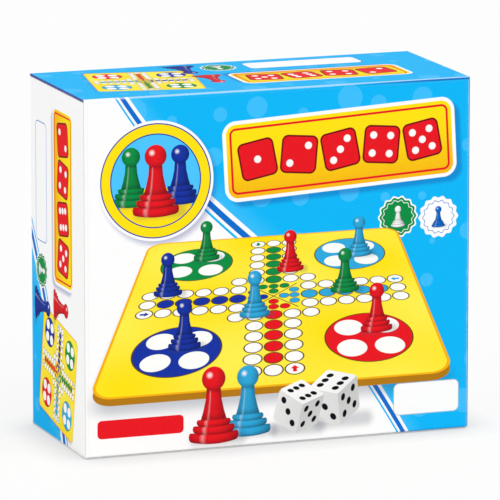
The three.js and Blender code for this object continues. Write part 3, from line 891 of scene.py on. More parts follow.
PANELS = {  # a panel's u and v from x, y and z, counted from its middle or, on the cover, its lower edge
    "cover": lambda x, y, z: (x, z),
    "back": lambda x, y, z: (x * -1.0, z - WALL_MIDDLE),
    "top": lambda x, y, z: (x * -1.0, y * -1.0),
    "bottom": lambda x, y, z: (x, y * -1.0),
    "left": lambda x, y, z: (WALL_MIDDLE - z, y * -1.0),
    "right": lambda x, y, z: (z - WALL_MIDDLE, y * -1.0),
}
WALL_CREST = {  # level and slope of the sky's edge on a wall, and the side of it that the sky is on
    "top": (-90.0, 0.0, 1.0),
    "bottom": (-90.0, 0.0, 1.0),
    "left": (-57.0, 0.55, -1.0),
    "right": (-22.0, 0.36, 1.0),
}


def cover_seam_shade(point):
    """Share of the dark line painted where the cover closes, as painted shade for the gap there and the
    shading
    of its edge: down its right edge, and along its upper edge, where it grows to the right."""
    u, v, _ = split(point)
    side = filled(COVER_HIGH.x / MM - 0.5 - u, soft=0.5)
    upper = between(COVER_HIGH.z / MM - v, 0.5, 1.6, soft=0.5) * ramp(u, 30.0, 115.0)
    return calc("MAXIMUM", side, upper) * 0.75


def carton_print(panel):
    """The varnished print of one panel of the carton."""

    def make(place):
        """The panel's own print on its u and v, under the card's varnish."""
        point = join(*PANELS[panel](*split(place)))
        edge = edge_distance(place, panel)
        if panel == "cover":
            paint = cover_art(point)
            # painted shade: a navy line where the cover closes, standing for the gap's shadow and the edge's
            # shading
            seam = cover_seam_shade(point)
            paint = mixed(seam, paint, tint("navy"))
            edge = edge + seam * 2.0
        elif panel == "back":
            paint = back_art(point)
        else:
            paint = wall_art(point, *WALL_CREST[panel])[0]
        return dressed(printed_card(place, edge, paint), strength=0.10)

    return material(f"print_{panel}", make, panel == "cover", **{"Specular IOR Level": 0.004})


def card_liner(name, bends=False):
    """The card's unprinted side, on which the flutes show as faint stripes of painted shade."""

    def make(place):
        """Stripes of painted shade along the flutes, in fibre."""
        x, y, _ = split(place)
        # painted shade: faint stripes where the flutes ripple the liner
        paint = mixed(flute_wave(x + y) * 0.12, tint("liner"), tint("flute"))
        return dressed(paper_fibre(place, paint), strength=0.25)

    return material(name, make, bends)


def card_edge(name, bends=False):
    """The card's cut edge: flutes run as a faint wave along it, greyed partly by painted shade, and the top
    wall's ends are painted navy, as painted shade for those cut ends in shadow."""
    top_inside = (TRAY_HIGH.z - bpy.context.scene.ludo_carton.card) / MM

    def make(place):
        """The wave, then the navy of painted shade, in fibre."""
        x, y, z = split(place)
        # partly painted shade: the cut edge is greyed towards the flute colour, with a wave along the flutes
        paint = mixed(flute_wave(x + y + z) * 0.12 + 0.25, tint("white"), tint("flute"))
        # painted shade: navy on the top wall's cut ends, which stand in shadow
        edge_shade = filled(top_inside - z, soft=0.3)
        return dressed(paper_fibre(place, mixed(edge_shade, paint, tint("navy"))), strength=0.2)

    return material(name, make, bends)


def plastic(name, shade, **values):
    """Moulded plastic of one colour."""
    make = lambda place: dressed(moulded_plastic(place, ink(shade)), strength=0.02)
    return material(name, make, **values)


# Meshes

def piece(name, points, faces, materials, body, slot, inks=None):
    """A smooth mesh object at the origin with an ink index for each face. It rides on a body, if one is
    given."""
    mesh = bpy.data.meshes.new(name)
    mesh.from_pydata(points.tolist(), [], faces.tolist())
    for made in materials:
        mesh.materials.append(made)
    if inks is not None:
        mesh.polygons.foreach_set("material_index", np.asarray(inks, np.int32))
    mesh.polygons.foreach_set("use_smooth", np.ones(len(faces), bool))
    mesh.validate()
    made = bpy.data.objects.new(name, mesh)
    bpy.context.scene.collection.objects.link(made)
    if body is not None:
        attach(made, body)
    return made


def read(rows, name, width, kind=np.float32):
    """A value of some width from every row of a mesh's points, edges, corners or faces."""
    values = np.empty(width * len(rows), kind)
    rows.foreach_get(name, values)
    return values.reshape(-1, width)


def merged(made):
    """Joins a piece's points that are at one place and turns its faces outwards."""
    work = bmesh.new()
    work.from_mesh(made.data)
    bmesh.ops.remove_doubles(work, verts=work.verts, dist=SAME)
    bmesh.ops.recalc_face_normals(work, faces=work.faces)
    work.to_mesh(made.data)
    work.free()
    return made


def soften(made, width, degrees=40.0, segments=2, at=None, even=False):
    """Rounds a closed piece's hard edges and keeps its flat faces flat to the eye. An edge is hard where the
    normals of its two faces are further apart than so many degrees. Where at is given, only the hard edges
    whose middles it chooses are rounded, and the others stay sharp. An even rounding has its full width
    everywhere, and another is held back by short edges."""
    mesh = made.data
    ends = read(mesh.edges, "vertices", 2, np.int32)
    x, y, z = read(mesh.vertices, "co", 3)[ends].mean(axis=1).T
    corners = read(mesh.polygons, "loop_total", 1, np.int32)[:, 0]
    by_edge = np.argsort(read(mesh.loops, "edge_index", 1, np.int32)[:, 0], kind="stable")
    faces = np.repeat(np.arange(len(corners)), corners)[by_edge].reshape(-1, 2)
    normal = read(mesh.polygons, "normal", 3)[faces]
    hard = (normal[:, 0] * normal[:, 1]).sum(axis=1) < math.cos(math.radians(degrees))
    rounded = hard if at is None else hard & at(x, y, z)
    mesh.attributes.new("sharp_edge", "BOOLEAN", "EDGE").data.foreach_set("value", hard & ~rounded)
    weights = mesh.attributes.new("bevel_weight_edge", "FLOAT", "EDGE")
    weights.data.foreach_set("value", rounded.astype(np.float32))
    bevel = made.modifiers.new("rounded_edges", "BEVEL")
    bevel.width = width
    bevel.segments = segments
    bevel.limit_method = "WEIGHT"
    bevel.loop_slide = not even
    bevel.use_clamp_overlap = not even
    bevel.harden_normals = False
    made.modifiers.new("flat_faces", "WEIGHTED_NORMAL").keep_sharp = True


def kept_at_rest(made):
    """Applies the modifiers of a piece that bends, and keeps its points' places as an attribute."""
    graph = bpy.context.evaluated_depsgraph_get()
    shown = made.evaluated_get(graph)
    mesh = bpy.data.meshes.new_from_object(shown, preserve_all_data_layers=True, depsgraph=graph)
    made.modifiers.clear()
    made.data = mesh
    places = read(mesh.vertices, "co", 3).ravel()
    mesh.attributes.new("rest_place", "FLOAT_VECTOR", "POINT").data.foreach_set("vector", places)


def cells(rows, columns, closed=False):
    """Quads between neighbouring points of a grid, row by row; closed joins the last column to the first."""
    index = np.arange(rows * columns).reshape(rows, columns)
    if closed:
        index = np.hstack([index, index[:, :1]])
    corners = (index[:-1, :-1], index[:-1, 1:], index[1:, 1:], index[1:, :-1])
    return np.stack(corners, axis=-1).reshape(-1, 4)


def arc(centre, radius, start, end, steps):
    """Points on a circle from one angle to another, in degrees, both ends among them."""
    turn = np.radians(np.linspace(start, end, steps + 1))
    return np.column_stack([centre[0] + radius * np.cos(turn), centre[1] + radius * np.sin(turn)])


def carried(profile, columns, lay):
    """A profile of two coordinates carried along a line: lay gives x, y and z from the place along the line
    and the profile's two coordinates, as grids with a row for each point of the profile."""
    place = np.broadcast_to(columns[None, :], (len(profile), len(columns)))
    first = np.broadcast_to(profile[:, :1], place.shape)
    second = np.broadcast_to(profile[:, 1:], place.shape)
    grid = np.stack(np.broadcast_arrays(*lay(place, first, second)), axis=-1)
    return grid.reshape(-1, 3), cells(len(profile), len(columns))


def welded(patches):
    """Several patches of (points, faces, ink) as one sheet, with points at the same place made one."""
    points = np.vstack([patch[0] for patch in patches])
    starts = np.cumsum([0] + [len(patch[0]) for patch in patches[:-1]])
    faces = np.vstack([patch[1] + start for patch, start in zip(patches, starts)])
    inks = np.concatenate([np.broadcast_to(patch[2], len(patch[1])) for patch in patches])
    _, first, same = np.unique(np.round(points, 7), axis=0, return_index=True, return_inverse=True)
    return points[first], same.reshape(-1)[faces], inks


def thickened(points, faces, inks, thickness, liner, edge):
    """A closed card from an open sheet. Each point is copied inwards along the mean normal of its faces,
    and quads join the two sheets along every edge that only one face has."""
    corner = points[faces]
    normal = np.cross(corner[:, 2] - corner[:, 0], corner[:, 3] - corner[:, 1])
    normal /= np.linalg.norm(normal, axis=1, keepdims=True)
    mean = np.zeros_like(points)
    np.add.at(mean, faces.ravel(), np.repeat(normal, 4, axis=0))
    mean /= np.linalg.norm(mean, axis=1, keepdims=True)
    count = len(points)
    edges = np.stack([faces, np.roll(faces, -1, axis=1)], axis=-1).reshape(-1, 2)
    _, same, times = np.unique(np.sort(edges, axis=1), axis=0, return_inverse=True, return_counts=True)
    rim = edges[times[same.reshape(-1)] == 1]
    rim_faces = np.column_stack([rim[:, 1], rim[:, 0], rim[:, 0] + count, rim[:, 1] + count])
    whole = np.vstack([faces, faces[:, ::-1] + count, rim_faces])
    whole_inks = np.concatenate([inks, np.full(len(faces), liner), np.full(len(rim_faces), edge)])
    return np.vstack([points, points - thickness * mean]), whole, whole_inks


def folded_card(profile, columns, lay, thickness, liner, edge):
    """A closed card from a profile carried along a line, with the first ink on its outside."""
    points, faces = carried(profile, columns, lay)
    return thickened(points, faces, np.zeros(len(faces), int), thickness, liner, edge)


def creased(sheet, edge, shade, at):
    """A closed card whose rim isn't cut but creased where at says so of the middles of its faces."""
    points, faces, inks = sheet
    x, y, z = points[faces].mean(axis=1).T
    return points, faces, np.where((inks == edge) & at(x, y, z), shade, inks)


def slab(name, node, corner, rounding, finish, body, slot):
    """A flat piece in the place of a node, with round corners and rounded edges. A profile of inset and depth
    is carried round the outline: a corner's arc shrinks by the inset, and past the corner's radius the whole
    outline shrinks to its middle."""
    low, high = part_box(node)
    middle, half = 0.5 * (low + high), 0.5 * (high - low)
    count = 13  # points on a corner's arc
    turn = np.radians(np.add.outer([0.0, 90.0, 180.0, 270.0], np.linspace(0.0, 90.0, count)).ravel())
    right = np.repeat([1.0, -1.0, -1.0, 1.0], count)
    upper = np.repeat([1.0, 1.0, -1.0, -1.0], count)
    profile = np.vstack([
        [[2.0 * corner, low.y], [corner, low.y]],
        arc((rounding, low.y + rounding), rounding, 270.0, 180.0, steps=4),
        arc((rounding, high.y - rounding), rounding, 180.0, 90.0, steps=4),
        [[corner, high.y], [2.0 * corner, high.y]],
    ])

    def lay(angle, inset, depth):
        """Corner centres, drawn in past the corner's radius, and the arcs round them."""
        share = np.clip(2.0 - inset / corner, 0.0, 1.0)
        radius = np.maximum(corner - inset, 0.0)
        x = middle.x + share * right * (half.x - corner) + radius * np.cos(angle)
        return x, depth, middle.z + share * upper * (half.z - corner) + radius * np.sin(angle)

    points, _ = carried(profile, turn, lay)
    made = merged(piece(name, points, cells(len(profile), len(turn), closed=True), [finish], body, slot))
    made.modifiers.new("flat_faces", "WEIGHTED_NORMAL")
    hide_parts(node)
    return made


# Operators

class LUDO_OT_box_tray(bpy.types.Operator):
    """Folds the tray: a back panel with a wall on each side, the left and right walls rolled over"""

    bl_idname = "ludo.box_tray"
    bl_label = "Box tray"

    def execute(self, context):
        carton = context.scene.ludo_carton
        radius, card = carton.fold, carton.card
        half = 0.5 * (TRAY_HIGH.x - TRAY_LOW.x)
        high, back = TRAY_HIGH.z, TRAY_HIGH.y
        front = COVER_HIGH.y + WALL_GAP
        fold_x = half - radius

        # Places across and up: the folds, the slots and the crushed rim
        inner_x = fold_x - carton.slot_width
        rim = np.array([carton.rim_width + carton.rim_taper, carton.rim_width])
        edges = np.concatenate([[inner_x, fold_x, half], half - rim])
        across = np.unique(np.concatenate([-edges, np.linspace(-inner_x, inner_x, 13), edges]))
        ends = np.array([-0.5, 0.5]) * carton.slot_length
        middles = 0.5 * high + np.array([-0.5, 0.5]) * carton.slot_spacing
        up = np.unique(np.concatenate([[radius, high - radius], (middles[:, None] + ends[None, :]).ravel()]))
        wall_up = np.append(carton.crushed + carton.seam, up)

        # Profiles from the back panel's fold to the front: how far out of the fold, and y
        bend = arc((0.0, back - radius), radius, 90.0, 0.0, steps=6)
        plain = np.vstack([bend, np.column_stack([np.full(2, radius), front + rim]), [[radius, front]]])
        roll = arc((radius - carton.roll, front + carton.roll), carton.roll, 0.0, -180.0, steps=10)
        inner = [[radius - 2.0 * carton.roll, back - card]]
        rolled = np.vstack([bend, [[radius, back - 2.0 * radius]], roll, inner])
        turned_in = len(bend) + 6  # the row of a rolled wall from which its liner shows

        def height(c, y):
            """Height on a side wall, whose lower end is level but lifts to clear the back panel's fold."""
            lift = np.clip((y - back) / radius + 2.0, 0.0, 1.0)
            return np.where(c < radius, c + lift * (radius - carton.crease_gap - c), c)

        names = ("top", "bottom", "left", "right", "back")
        liner, edge = len(names), len(names) + 1
        patches = []
        lays = (
            (across[::-1], plain, lambda c, out, y: (c, y, high - radius + out)),
            (across, plain, lambda c, out, y: (c, y, radius - out)),
            (wall_up[::-1], rolled, lambda c, out, y: (radius - half - out, y, height(c, y))),
            (wall_up, rolled, lambda c, out, y: (half - radius + out, y, height(c, y))),
        )
        for index, (columns, profile, lay) in enumerate(lays):
            points, faces = carried(profile, columns, lay)
            row = np.repeat(np.arange(len(profile) - 1), len(columns) - 1)
            patches.append((points, faces, np.where(row > turned_in, liner, index)))

        # The back panel, with its slots left open
        panel_x = across[1:-1][::-1]
        points, faces = carried(np.column_stack([up, up]), panel_x, lambda c, z, _: (c, back, z))
        middle = points[faces].mean(axis=1)
        at_slot = (np.abs(middle[:, 2, None] - middles[None, :]) < 0.5 * carton.slot_length).any(axis=1)
        kept = ~(at_slot & (np.abs(middle[:, 0]) > inner_x))
        patches.append((points, faces[kept], names.index("back")))

        sheet = welded(patches)
        x, y, z = sheet[0].T
        from_rim = np.minimum(y - front, half - np.abs(x))
        squeeze = np.clip((rim[0] - from_rim) / carton.rim_taper, 0.0, 1.0) * (z < LEVEL)
        thickness = card + squeeze * (carton.crushed - card)

        def at_crease(x, y, z):
            """Chooses the top wall's front edge without its ends."""
            return (y < front + NEAR) & (z > high - card) & (np.abs(x) < half - NEAR)

        def at_end(x, y, z):
            """Chooses the top wall's ends as far back as the fold."""
            return (np.abs(x) > half - NEAR) & (z > high - card - NEAR) & (y < back - 2.0 * radius)

        sheet = thickened(*sheet, thickness[:, None], liner, edge)
        sheet = creased(sheet, edge=edge, shade=names.index("top"), at=at_crease)
        prints = [carton_print(name) for name in names]
        white, cut = card_liner("card_liner"), card_edge("card_edge")
        tray = piece("tray", *sheet[:2], [*prints, white, cut], "carton", "printed_card", sheet[2])
        soften(tray, carton.cut_edge, at=at_end)
        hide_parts("box_tray")
        self.tabs(carton, inner_x, middles, white)
        return {"FINISHED"}

    def tabs(self, carton, inner_x, middles, finish):
        """The ends of the side walls' tabs, a little sunk in the slots of the back panel."""
        side_play, end_play = 0.08 * MM, 0.8 * MM
        sunk, thickness, rounding = 0.35 * MM, 0.9 * MM, 0.2 * MM
        width = np.array([side_play, carton.slot_width - side_play])
        reach = np.array([-0.5, 0.5]) * (carton.slot_length - end_play)
        recess = TRAY_HIGH.y - sunk
        patches = []
        for way in (-1.0, 1.0):
            columns = np.sort(way * (inner_x + width))[::-1]
            for place in middles:
                rows = np.column_stack([place + reach, place + reach])
                patches.append((*carried(rows, columns, lambda c, z, _: (c, recess, z)), 0))
        sheet = thickened(*welded(patches), thickness, liner=0, edge=0)
        made = piece("wall_tabs", *sheet[:2], [finish], "carton", "printed_card", sheet[2])
        soften(made, rounding)


class LUDO_OT_cover(bpy.types.Operator):
    """Makes the cover: a panel that turns in at its upper and lower fold and bows out a little"""

    bl_idname = "ludo.cover"
    bl_label = "Cover"

    def execute(self, context):
        carton = context.scene.ludo_carton
        radius = carton.cover_fold
        front, low, high = COVER_LOW.y, carton.crushed + carton.seam, COVER_HIGH.z
        half = 0.5 * (COVER_HIGH.x - COVER_LOW.x)
        leg = COVER_HIGH.y + WALL_GAP - carton.crease_gap
        face = np.linspace(low + radius, high - radius, 22)[1:-1]
        profile = np.vstack([
            [[leg, low]],
            arc((front + radius, low + radius), radius, 270.0, 180.0, steps=8),
            np.column_stack([np.full_like(face, front), face]),
            arc((front + radius, high - radius), radius, 180.0, 90.0, steps=8),
            [[leg, high]],
        ])
        columns = np.linspace(-half, half, 25)

        def lay(x, y, z):
            """A bow that is greatest in the middle and nothing at the edges."""
            level = np.clip((z - low - radius) / (high - low - 2.0 * radius), 0.0, 1.0)
            bow = 4.0 * level * (1.0 - level) * (1.0 - (x / half) ** 2)
            return x, y - carton.crown * bow, z

        sheet = folded_card(profile, columns, lay, carton.card, liner=1, edge=2)
        sheet = creased(sheet, edge=2, shade=1, at=lambda x, y, z: np.abs(x) < half - NEAR)
        materials = [carton_print("cover"), card_liner("cover_liner", True), card_edge("cover_edge", True)]
        made = piece("front_cover", *sheet[:2], materials, None, "printed_card", sheet[2])
        soften(made, carton.cut_edge, at=lambda x, y, z: np.abs(x) > half - NEAR)
        kept_at_rest(made)
        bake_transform(made)
        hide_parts("cover")
        return {"FINISHED"}


class LUDO_OT_tuck_flap(bpy.types.Operator):
    """Makes the tuck flap: a strip with two round corners that slants in from the cover's lower fold"""

    bl_idname = "ludo.tuck_flap"
    bl_label = "Tuck flap"

    def execute(self, context):
        carton = context.scene.ludo_carton
        low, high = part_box("tuck_flap")
        slant = math.radians(5.0)
        corner = 16.0 * MM
        start = carton.card + WALL_GAP
        end = (high.y - COVER_LOW.y) / math.cos(slant)
        half = 0.5 * (high.x - low.x)
        straight = np.linspace(start, end - corner, 4)
        way = np.vstack([
            np.column_stack([straight, np.full_like(straight, half)]),
            arc((end - corner, half - corner), corner, 90.0, 15.0, steps=10)[1:],
            [[end, half - corner]],
        ])
        share = np.linspace(-1.0, 1.0, 21)

        def lay(t, s, width):
            """Along the slanted strip, with its width to either side."""
            y = COVER_LOW.y + s * math.cos(slant)
            return t * width * -1.0, y, carton.crushed + carton.seam + s * math.sin(slant)

        sheet = folded_card(way, share, lay, carton.card, liner=1, edge=2)
        sheet = creased(sheet, edge=2, shade=1, at=lambda x, y, z: y < COVER_LOW.y + start)
        names = ("card_flap", "card_liner", "card_edge")
        shade = tint("white")
        far = 9.0  # millimetres to an edge, too far for rubbing
        make = lambda place: dressed(printed_card(place, far, shade), strength=0.1)
        material(names[0], make)
        materials = [bpy.data.materials[name] for name in names]
        made = piece("flap", *sheet[:2], materials, "tuck_flap", "printed_card", sheet[2])
        soften(made, carton.cut_edge)
        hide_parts("tuck_flap")
        return {"FINISHED"}


class LUDO_OT_insert(bpy.types.Operator):
    """Takes the formed insert from the frame, joins its faces and rounds its front edges"""

    bl_idname = "ludo.insert"
    bl_label = "Insert"

    def execute(self, context):
        pieces = context.scene.ludo_pieces
        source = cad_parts["insert_tray"].data
        work = bmesh.new()
        work.from_mesh(source)
        bmesh.ops.remove_doubles(work, verts=work.verts, dist=10.0 * SAME)
        bmesh.ops.dissolve_limit(work, angle_limit=math.radians(0.5), verts=work.verts, edges=work.edges)
        bmesh.ops.remove_doubles(work, verts=work.verts, dist=pieces.insert_join)
        mesh = bpy.data.meshes.new("formed_insert")
        work.to_mesh(mesh)
        work.free()
        mesh.materials.clear()
        mesh.materials.append(plastic("formed_sheet", pieces.insert))
        mesh.polygons.foreach_set("use_smooth", np.ones(len(mesh.polygons), bool))
        made = bpy.data.objects.new("formed_insert", mesh)
        context.scene.collection.objects.link(made)
        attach(made, "carton")
        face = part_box("insert_tray")[0].y + 0.5 * NEAR
        soften(made, pieces.insert_round, degrees=50.0, segments=3, at=lambda x, y, z: y < face, even=True)
        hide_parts("insert_tray")
        return {"FINISHED"}


class LUDO_OT_board(bpy.types.Operator):
    """Prints the board's sheet with a ludo track whose arms run to the corners, and greys its core"""

    bl_idname = "ludo.board"
    bl_label = "Board"

    def execute(self, context):
        pieces = context.scene.ludo_pieces
        centre = 0.5 * (BOARD_LOW + BOARD_HIGH) / MM
        side = (BOARD_HIGH.x - BOARD_LOW.x) / MM
        cell = SLANTED_CELLS / (side * math.sqrt(2.0))

        def sheet(place):
            """The track, turned by an eighth, with an amber rim and a faint mottle."""
            x, _, z = split(place)
            point = join((x - centre.x) * cell, (z - centre.z) * cell)
            paint = ludo_track(turned(point, (0.0, 0.0), 45.0), *SLANTED_YARD)[0]
            rim = plate(point, (0.0, 0.0), (0.5 * side * cell, 0.5 * side * cell), 0.8)
            paint = over(paint, rim * -1.0 - 0.28, tint("amber"), soft=0.04)
            mottle = noise(place, scale=0.7, detail=3.0)
            return {
                "Base Color": mixed(mottle * 0.04, paint, (0.3, 0.25, 0.1, 1.0)),
                "Roughness": mottle * 0.12 + 0.24,
                "Normal": bump(mottle, strength=0.04),
            }

        grey = lambda place: dressed(paper_fibre(place, ink(pieces.grey_board)), strength=0.5)
        face_round, core_round = 0.15 * MM, 0.6 * MM
        corner = pieces.board_corner
        face_corner = corner - pieces.print_margin
        face = material("board_print", sheet, **{"Coat Weight": 0.3, "Coat Roughness": 0.15})
        slab("board_face", "board_sheet", face_corner, face_round, face, "board", "board_print")
        core = material("grey_board", grey)
        slab("board_back", "board_core", corner, core_round, core, "board", "grey_board")
        return {"FINISHED"}


class LUDO_OT_leaflet(bpy.types.Operator):
    """Folds the leaflet from one sheet of paper, with grey bars for its printed lines"""

    bl_idname = "ludo.leaflet"
    bl_label = "Leaflet"

    def execute(self, context):
        pieces = context.scene.ludo_pieces
        low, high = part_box("rules_leaflet")
        centre = 0.5 * (low + high) / MM
        size = (high - low) / MM

        def sheet(place):
            """Lines of 5 mm in a column that leaves a margin."""
            x, _, z = split(place)
            point = join(x - centre.x, z - centre.z)
            column = filled(plate(point, (0.0, 0.0), (0.5 * size.x - 12.0, 0.5 * size.z - 14.0), 2.0))
            line = between(calc("FRACT", z * (1.0 / 5.0)), 0.30, 0.62, soft=0.08)
            shade = mixed(column * line * 0.35, ink(pieces.paper), (0.25, 0.26, 0.30, 1.0))
            return dressed(paper_fibre(place, shade), strength=0.2)

        fold = 0.5 * (high.y - low.y)
        across = np.linspace(high.x, low.x + fold, 12)
        profile = np.vstack([
            np.column_stack([across, np.full_like(across, low.y)])[:-1],
            arc((low.x + fold, low.y + fold), fold, 270.0, 90.0, steps=10),
            np.column_stack([across[::-1], np.full_like(across, high.y)])[1:],
        ])
        heights = np.linspace(low.z, high.z, 9)
        folded = folded_card(profile, heights, lambda up, x, y: (x, y, up), pieces.leaf, liner=0, edge=0)
        paper = material("leaflet_sheet", sheet)
        made = piece("folded_leaflet", *folded[:2], [paper], "leaflet", "leaflet_paper")
        made.modifiers.new("flat_faces", "WEIGHTED_NORMAL")
        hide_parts("rules_leaflet")
        return {"FINISHED"}


PAWN_RINGS = (16.0, 13.8, 11.4)  # diameters of a pawn's foot rings, in millimetres
PAWN_STEP = 2.2  # height of a ring
PAWN_TOE = 0.35  # rounding under the lowest ring
PAWN_NECK, PAWN_FLARE = 2.5, 2.1  # least radius of the neck, and how much wider it starts
PAWN_HEAD, PAWN_MIDDLE = 3.85, 19.15  # radius of the head, and height of its middle
PAWN_HOLLOW = ((0.0, 5.5), (4.4, 0.15), (4.7, 0.0))  # radius and height in the underside


class LUDO_OT_pawns(bpy.types.Operator):
    """Turns the sixteen pawns: a profile of three rounded rings, a waisted neck and a ball, carried round"""

    bl_idname = "ludo.pawns"
    bl_label = "Pawns"

    def profile(self, rounding):
        """Radius and height from the hollow underside to the top of the head, in metres."""
        ring, toe = PAWN_STEP * MM, PAWN_TOE * MM
        parts = [np.array(PAWN_HOLLOW) * MM]
        for index, diameter in enumerate(PAWN_RINGS):
            radius = 0.5 * diameter * MM
            floor = index * ring
            foot = toe if index == 0 else 0.0
            parts.append(arc((radius - toe, floor + foot), toe, -90.0 if foot else 0.0, 0.0, steps=4))
            parts.append(arc((radius - rounding, floor + ring - rounding), rounding, 0.0, 90.0, steps=6))
        head, middle = PAWN_HEAD * MM, PAWN_MIDDLE * MM
        neck_top = middle - head * math.cos(math.asin(PAWN_NECK / PAWN_HEAD))
        share = np.linspace(0.0, 1.0, 14)
        neck_low = 3.0 * ring
        neck = np.column_stack([
            PAWN_NECK * MM + PAWN_FLARE * MM * (1.0 - share) ** 1.7,
            neck_low + share * (neck_top - neck_low),
        ])
        parts.append(neck)
        start = math.degrees(-math.acos(PAWN_NECK / PAWN_HEAD))
        parts.append(arc((0.0, middle), head, start, 90.0, steps=20)[1:-1])
        parts.append(np.array([[0.0, middle + head]]))
        return np.vstack(parts)

    def execute(self, context):
        pieces = context.scene.ludo_pieces
        profile = self.profile(pieces.ring_round)
        turn = np.linspace(0.0, 2.0 * math.pi, pieces.pawn_turns, endpoint=False)
        for name in SETS:
            made = plastic(f"{name}_plastic", getattr(pieces, name), **COAT)
            for index in range(1, 5):
                node = f"pawn_{name}_{index}"
                low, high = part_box(node)
                x, z = 0.5 * (low.x + high.x), 0.5 * (low.z + high.z)
                lay = lambda angle, radius, height: (
                    x + radius * np.cos(angle),
                    high.y - height,
                    z + radius * np.sin(angle),
                )
                points, _ = carried(profile, turn, lay)
                faces = cells(len(profile), len(turn), closed=True)
                man = merged(piece(f"man_{name}_{index}", points, faces, [made], node, f"{name}_plastic"))
                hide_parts(node)
        return {"FINISHED"}


class LUDO_OT_dice(bpy.types.Operator):
    """Makes the dice: a cube whose edges are a ball carried along them, with a round dimple for each pip"""

    bl_idname = "ludo.dice"
    bl_label = "Dice"

    def execute(self, context):
        pieces = context.scene.ludo_pieces

        def paint(place):
            """Ink inside the pips, by each point's distance to the edge of the nearest pip."""
            edge = tree_of([place]).nodes.new("ShaderNodeAttribute")
            edge.attribute_name = "pip_edge"
            shade = over(ink(pieces.ivory), Term(edge.outputs["Fac"]), ink(pieces.ink), soft=0.10)
            return dressed(moulded_plastic(place, shade), strength=0.02)

        made = material("dice_plastic", paint, **COAT)
        for node, quarter_turns in (("die_1", 0), ("die_2", 1)):
            low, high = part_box(node)
            self.die(pieces, node, 0.5 * (low + high), 0.5 * (high.x - low.x), quarter_turns, made)
        return {"FINISHED"}

    def die(self, pieces, node, centre, half, quarter_turns, made):
        """Six grids, each with its own number; a point beyond the flat part moves on to a ball there."""
        count = pieces.die_cells + 1
        crowd = 0.5 * math.pi * 0.86  # cells crowd towards the edges as the sine of an angle up to this does
        line = half * np.sin(np.linspace(-1.0, 1.0, count) * crowd) / math.sin(crowd)
        a, b = np.meshgrid(line, line)
        flat = half - pieces.die_round
        spots = {1: [(0, 0)], 2: [(-1, 1), (1, -1)], 4: [(-1, 1), (1, -1), (1, 1), (-1, -1)]}
        spots[3] = spots[1] + spots[2]
        spots[5] = spots[1] + spots[4]
        spots[6] = spots[4] + [(-1, 0), (1, 0)]
        axes = {
            1: ((1, 0, 0), (0, 1, 0)), 2: ((1, 0, 0), (0, 0, 1)), 3: ((0, 1, 0), (0, 0, 1)),
            4: ((0, -1, 0), (0, 0, 1)), 5: ((-1, 0, 0), (0, 0, 1)), 6: ((-1, 0, 0), (0, 1, 0)),
        }
        ball = ((0.5 * pieces.pip) ** 2 + pieces.pip_depth**2) / (2.0 * pieces.pip_depth)
        patches, edges = [], []
        for number, (first, second) in axes.items():
            first, second = np.array(first, float), np.array(second, float)
            out = np.cross(first, second)
            places = np.array(spots[number], float) * pieces.pip_spacing
            away = np.hypot(a[..., None] - places[:, 0], b[..., None] - places[:, 1]).min(axis=-1)
            dip = np.maximum(np.sqrt(np.maximum(ball**2 - away**2, 0.0)) - (ball - pieces.pip_depth), 0.0)
            raw = a[..., None] * first + b[..., None] * second + half * out
            core = np.clip(raw, -flat, flat)
            rest = raw - core
            round_point = core + pieces.die_round * rest / np.linalg.norm(rest, axis=-1, keepdims=True)
            patches.append(((round_point - dip[..., None] * out).reshape(-1, 3), cells(count, count), 0))
            edges.append((away.ravel() - 0.5 * pieces.pip) / MM)
        points = np.vstack([patch[0] for patch in patches])
        order = np.unique(np.round(points, 7), axis=0, return_index=True)[1]
        whole, faces, _ = welded(patches)
        angle = 0.5 * math.pi * quarter_turns
        turn = np.array([
            [math.cos(angle), -math.sin(angle), 0.0],
            [math.sin(angle), math.cos(angle), 0.0],
            [0.0, 0.0, 1.0],
        ])
        placed = whole @ turn.T + np.array(centre)
        die = piece(f"dice_{node[-1]}", placed, faces, [made], node, "dice_plastic")
        attribute = die.data.attributes.new("pip_edge", "FLOAT", "POINT")
        attribute.data.foreach_set("value", np.concatenate(edges)[order].astype(np.float32))
        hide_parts(node)


VIEW_END = 200.0  # metres that the camera sees
FLOOR_REACH = 60.0  # metres from the middle of the floor to its sides
FLOOR_DROP = 0.0004  # metres that the floor lies under the carton


